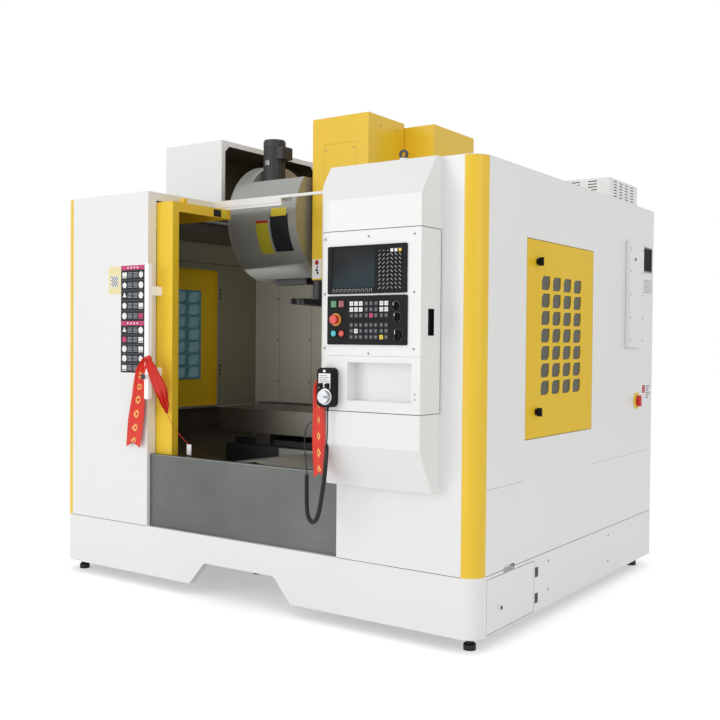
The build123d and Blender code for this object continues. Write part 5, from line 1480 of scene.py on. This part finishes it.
    def door_fittings(self) -> None:
        """Make the control door's screws, its joint lines and the lining of its finger recess."""
        board = Board(Facing.FRONT, CONTROL_FACE)
        heights, sides = self.screw_grid
        places = [(x, z) for z in heights for x in sides]
        board.screws("control_screws", [*places, (863.0, 1722.0), (866.0, 1234.0)], "control_door", 5.0)
        board.screws("shelf_screws", [(1095.0, 1071.0), (1095.0, 1050.0)], "control_door", 3.5)
        joint = Shape("control_joint")
        board.plate(joint, (662.0, 1119.0), (1222.4, 1223.4), 0.15)
        joint.done("control_door", LABEL_GREY)
        lining = Shape("recess_lining")
        x, s, z = self.recess
        sheet = self.recess_sheet
        lining.block((x[0], x[0] + 1.0), s, z)
        for wall in ((s[0], s[0] + sheet), (s[1] - sheet, s[1])):
            lining.block(x, wall, z)
        for wall in ((z[0], z[0] + sheet), (z[1] - sheet, z[1])):
            lining.block(x, (s[0] + sheet, s[1] - sheet), wall)
        lining.done("control_door", DARK_PLASTIC, "black_plastic")

    def pendant(self) -> None:
        """Make the pendant's label, its dial marks and the hand wheel's scale ring."""
        face = limits("pendant_body")[1][0] + self.pendant_face
        board = Board(Facing.FRONT, face)
        label, marks = Shape("pendant_label"), Shape("pendant_marks")
        for across, up in self.pendant_label:
            board.plate(label, across, up, 0.5, soft=0.2)
        for step in range(4):
            z = 1113.0 + step * 8.0
            board.plate(marks, (646.0, 696.0 - 9.0 * (step % 2)), (z, z + 2.0), 0.8)
        ring = Shape("wheel_scale")
        profile = [(28.6, 0.0), (35.0, 0.0), (35.0, 2.4), (33.0, 3.2), (28.6, 3.2), (28.6, 0.0)]
        ring.turned(profile, (self.wheel[0], face, self.wheel[1]), (0.0, -1.0, 0.0))
        badge = Shape("pendant_badge")
        board.plate(badge, *self.pendant_badge, 0.6)
        dress("control_door", {badge: LABEL_WHITE, label: LABEL_WHITE, marks: LABEL_GREY})
        ring.done("control_door", WHEEL, "wheel_metal")


@dataclass
class Ribbon:
    """Length of satin, gathered at its knot and hanging to a notched end."""

    name: str
    body: str
    holder: str
    stations: list[tuple[float, float, float, float, float]]
    flat: Span
    waves: float = 2.5
    notch: float = 26.0
    notch_share: float = 0.06
    drift: float = 3.0
    fold: float = 0.9
    least_fold: float = 1.5
    thickness: float = 0.4
    rows: int = 72
    columns: int = 12
    plain: bool = False

    def station(self, share: float) -> tuple[Vector, float, float]:
        """Read the ribbon's middle, half width and turn at a share of its length.

        Args:
            share: From nought at the knot to one at the end.

        Returns:
            Middle in metres, half width in millimetres and turn in degrees.
        """
        place = share * (len(self.stations) - 1)
        index = min(int(place), len(self.stations) - 2)
        step = place - index
        ease = step * step * (3 - 2 * step)
        first, last = self.stations[index], self.stations[index + 1]
        mixed = [a + (b - a) * (ease if key > 2 else step) for key, (a, b) in enumerate(zip(first, last))]
        return at(*mixed[:3]), mixed[3], mixed[4]

    def build(self, with_pieces: list[bpy.types.Object] | None = None) -> bpy.types.Object:
        """Args:
            with_pieces: Pieces that hang on it, such as its knot. Not used.

        Returns:
            The ribbon's object.
        """
        mesh = bmesh.new()
        mesh.loops.layers.uv.new("UVMap")
        bmesh.ops.create_grid(mesh, x_segments=self.columns, y_segments=self.rows, size=0.5, calc_uvs=True)
        widest = max(row[3] for row in self.stations)
        for vertex in mesh.verts:
            across, share = vertex.co.x, vertex.co.y + 0.5
            middle, half, turn = self.station(share)
            angle = math.radians(turn)
            out = Vector((math.cos(angle), math.sin(angle), 0.0))
            gathered = math.sqrt(max(0.0, 1 - (half / widest) ** 2))
            depth = self.fold * widest / self.waves * gathered + self.least_fold
            fold = math.sin(math.tau * self.waves * (across + 0.5) + share * self.drift) * depth
            normal = Vector((out.y, -out.x, 0.0))
            cut = max(0.0, (share - 1 + self.notch_share) / self.notch_share)
            lift = cut * (1 - abs(across) * 2) * self.notch
            spread = out * across * 2 * half + normal * fold * 0.5 + Vector((0.0, 0.0, lift))
            vertex.co = middle + spread * MM
        bmesh.ops.recalc_face_normals(mesh, faces=mesh.faces)
        ribbon = settle(mesh, self.name, self.body, KNOT if self.plain else RIBBON)
        thick = ribbon.modifiers.new("thickness", "SOLIDIFY")
        thick.thickness = self.thickness * MM
        thick.offset = 0.0
        return ribbon


@dataclass
class Ribbons:
    """Red ribbons on the left door's handle and at the pendant."""

    knot: Triple = (-600.0, -28.0, 1186.0)
    string_points: tuple[Triple, ...] = (
        (-530.0, 40.0, 906.0),
        (-524.0, 46.0, 880.0),
        (-506.0, 60.0, 842.0),
        (-482.0, 78.0, 800.0),
        (-456.0, 92.0, 766.0),
        (-434.0, 104.0, 744.0),
    )
    string_radius: float = 1.3
    tag: tuple[Span, Span, Span] = ((-450.0, -418.0), (103.0, 104.6), (690.0, 745.0))

    def build(self) -> None:
        """Tie both ribbons."""
        knot = self.bow("handle_knot", self.knot, (26.0, 12.0, 17.0), "left_door")
        Ribbon(
            "ribbon_left",
            "left_door",
            "left_door_handle",
            [
                (-606.0, -37.0, 1188.0, 20.0, 0.0),
                (-640.0, -36.0, 1130.0, 34.0, 4.0),
                (-664.0, -30.0, 1010.0, 46.0, -4.0),
                (-692.0, -26.0, 860.0, 52.0, 3.0),
                (-716.0, -22.0, 722.0, 55.0, -3.0),
            ],
            (110.0, 485.0),
        ).build([knot])
        Ribbon(
            "ribbon_right",
            "left_door",
            "left_door_handle",
            [
                (-588.0, -37.0, 1188.0, 20.0, 0.0),
                (-566.0, -30.0, 1130.0, 30.0, 20.0),
                (-546.0, 4.0, 1040.0, 34.0, 40.0),
                (-536.0, 28.0, 960.0, 24.0, 60.0),
                (-530.0, 40.0, 905.0, 8.0, 70.0),
            ],
            (70.0, 310.0),
            notch=0.0,
            plain=True,
        ).build()
        self.string()
        Ribbon(
            "ribbon_pendant",
            "control_door",
            "pendant_body",
            [
                (642.0, -166.0, 1150.0, 22.0, 0.0),
                (618.0, -171.0, 1090.0, 26.0, 6.0),
                (617.0, -172.0, 980.0, 30.0, -5.0),
                (619.0, -173.0, 840.0, 31.0, 4.0),
                (624.0, -172.0, 692.0, 33.0, -6.0),
            ],
            (66.0, 468.0),
            waves=1.5,
        ).build()

    def bow(self, name: str, place: Triple, size: Triple, body: str) -> bpy.types.Object:
        """Make a folded knot from a subdivided ball with creases round it.

        Args:
            name: Piece's name.
            place: Its middle.
            size: Half sizes across, in depth and in height.
            body: CAD body that it moves with.

        Returns:
            The knot's object.
        """
        mesh = bmesh.new()
        bmesh.ops.create_uvsphere(mesh, u_segments=32, v_segments=18, radius=1.0)
        for vertex in mesh.verts:
            crease = 1 + 0.12 * math.sin(7 * math.atan2(vertex.co.z, vertex.co.x) + 4 * vertex.co.y)
            vertex.co = at(*place) + Vector([c * s * MM * crease for c, s in zip(vertex.co, size)])
        return settle(mesh, name, body, KNOT)

    def string(self) -> None:
        """Hang the thin string and its paper tag from the right ribbon's end."""
        line = [at(*point) for point in self.string_points]
        cords = PendantCord()
        string = cords.spline("ribbon_string", line, self.string_radius)
        string.data.materials.append(KNOT.build())
        length = run_of(cords.points_of(cords.spline("string_line", line)))
        tag = Shape("string_tag")
        tag.block(*self.tag, soft=0.5)
        paper = tag.done("left_door", LABEL_WHITE)
        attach(string, "left_door")


@dataclass
class Machine:
    """Fittings of the machine proper: motor, drum rim, nozzles and door lock."""

    motor: Span = (-530.0, 885.0)
    motor_heights: Triple = (2222.0, 2400.0, 2408.0)
    motor_plate: tuple[float, Span] = (16.0, (2300.0, 2330.0))
    fins: int = 24
    fin_place: float = 61.0
    drum: Triple = (-713.0, 1035.0, 1983.0)
    head: Triple = (0.0, 1035.0, 1560.0)
    nozzles: tuple[float, ...] = (200.0, 250.0, 290.0, 340.0)
    nozzle_links: int = 4
    nozzle_radius: float = 58.0
    lock: Triple = (-607.0, -53.0, 1094.0)
    guide_tab: tuple[Span, Span, Span] = ((-560.0, -530.0), (150.0, 180.0), (1998.0, 2026.0))
    saddle_cover: tuple[Span, Span, Span] = ((-230.0, 612.0), (581.0, 584.8), (612.0, 700.0))

    def build(self) -> None:
        """Make every fitting."""
        self.motor_casing()
        self.drum_rim()
        self.coolant()
        self.handle_fittings()
        self.bed_cover()

    def motor_casing(self) -> None:
        """Make the changer motor's fan cowl and cooling fins."""
        x, s = self.motor
        foot, head, top = self.motor_heights
        cowl = Shape("motor_cowl")
        dome = [(0.0, 44.0), (40.0, 44.0), (58.0, 40.0), (65.5, 32.0)]
        skirt = [(65.5, 0.0), (62.4, 0.0), (62.4, -4.0), (0.0, -4.0)]
        cowl.turned([*dome, *skirt], (x, s, top), (0.0, 0.0, 1.0), 36)
        cowl.done("root", BLACK, "black_paint")
        fins = Shape("motor_fins")
        for step in range(self.fins):
            angle = math.tau * step / self.fins
            place = (x + math.cos(angle) * self.fin_place, s + math.sin(angle) * self.fin_place)
            fins.rod((*place, foot), (*place, head), 3.2, sides=6)
        fins.done("root", BLACK, "black_paint")
        rating = Shape("motor_plate")
        half, heights = self.motor_plate
        rating.block((x - half, x + half), (s - 66.8, s - 64.2), heights, soft=0.6)
        rating.done("root", SCREW)

    def drum_rim(self) -> None:
        """Make the folded rim at the drum's open end."""
        rim = Shape("drum_rim")
        fold = [(341.5, 0.0), (346.5, 0.0), (347.5, 2.0), (346.5, 5.0), (344.2, 6.0), (341.5, 6.0)]
        rim.turned([*fold, fold[0]], self.drum, (1.0, 0.0, 0.0), 96)
        rim.done("root", DRUM, "drum_paint")

    def coolant(self) -> None:
        """Make the coolant ring and its jointed nozzles under the head."""
        ring = Shape("coolant_ring")
        profile = [(50.0, 0.0), (66.0, 0.0), (66.0, -14.0), (60.0, -18.0), (50.0, -18.0), (50.0, 0.0)]
        ring.turned(profile, self.head, (0.0, 0.0, 1.0), 40)
        ring.done("head", BLACK, "black_paint")
        links = Shape("coolant_nozzles")
        x, s, z = self.head
        for angle in self.nozzles:
            u, v = math.cos(math.radians(angle)), math.sin(math.radians(angle))
            place = (x + self.nozzle_radius * u, s + self.nozzle_radius * v, z - 18.0)
            for step in range(self.nozzle_links):
                below = (place[0] - u * 4.0, place[1] - v * 4.0, place[2] - 11.0)
                links.rod(place, below, 6.4 - step * 0.6, 4.8 - step * 0.6, sides=12)
                place = below
        links.done("head", DARK_PLASTIC, "black_plastic")

    def handle_fittings(self) -> None:
        """Make the door lock's dark face and the door's guide tab."""
        lock = Shape("handle_lock_face")
        profile = [(0.0, 5.0), (9.0, 5.0), (14.5, 3.0), (15.5, 0.0), (0.0, 0.0)]
        lock.turned(profile, self.lock, (0.0, -1.0, 0.0), 28)
        lock.done("left_door", BLACK, "black_paint")
        tab = Shape("door_guide_tab")
        tab.block(*self.guide_tab, soft=2.0)
        tab.done("left_door", YELLOW, "yellow_paint")

    def bed_cover(self) -> None:
        """Make the pale cover plate on the saddle's front."""
        cover = Shape("saddle_cover")
        cover.block(*self.saddle_cover, soft=1.2)
        cover.done("saddle", COVER_STEEL)


def dress_frame() -> None:
    """Give every CAD node the finish of its material slot."""
    for row in frame["record"]["subparts"]:
        node = frame["nodes"][row["node"]]
        finish = NODE_FINISHES.get(row["node"], SLOT_FINISHES[row["material_slot"]])
        node.data.materials.clear()
        node.data.materials.append(finish.build())


def main() -> None:
    """Build the scene in order: studio and cord first, then finishes and trim."""
    logging.basicConfig(level=logging.INFO, format="%(name)s %(message)s")
    Studio().build()
    PendantCord().build()
    dress_frame()
    for group in (Panels(), Placards(), ControlFace(), Ribbons(), Machine()):
        group.build()


if __name__ == "__main__":
    main()
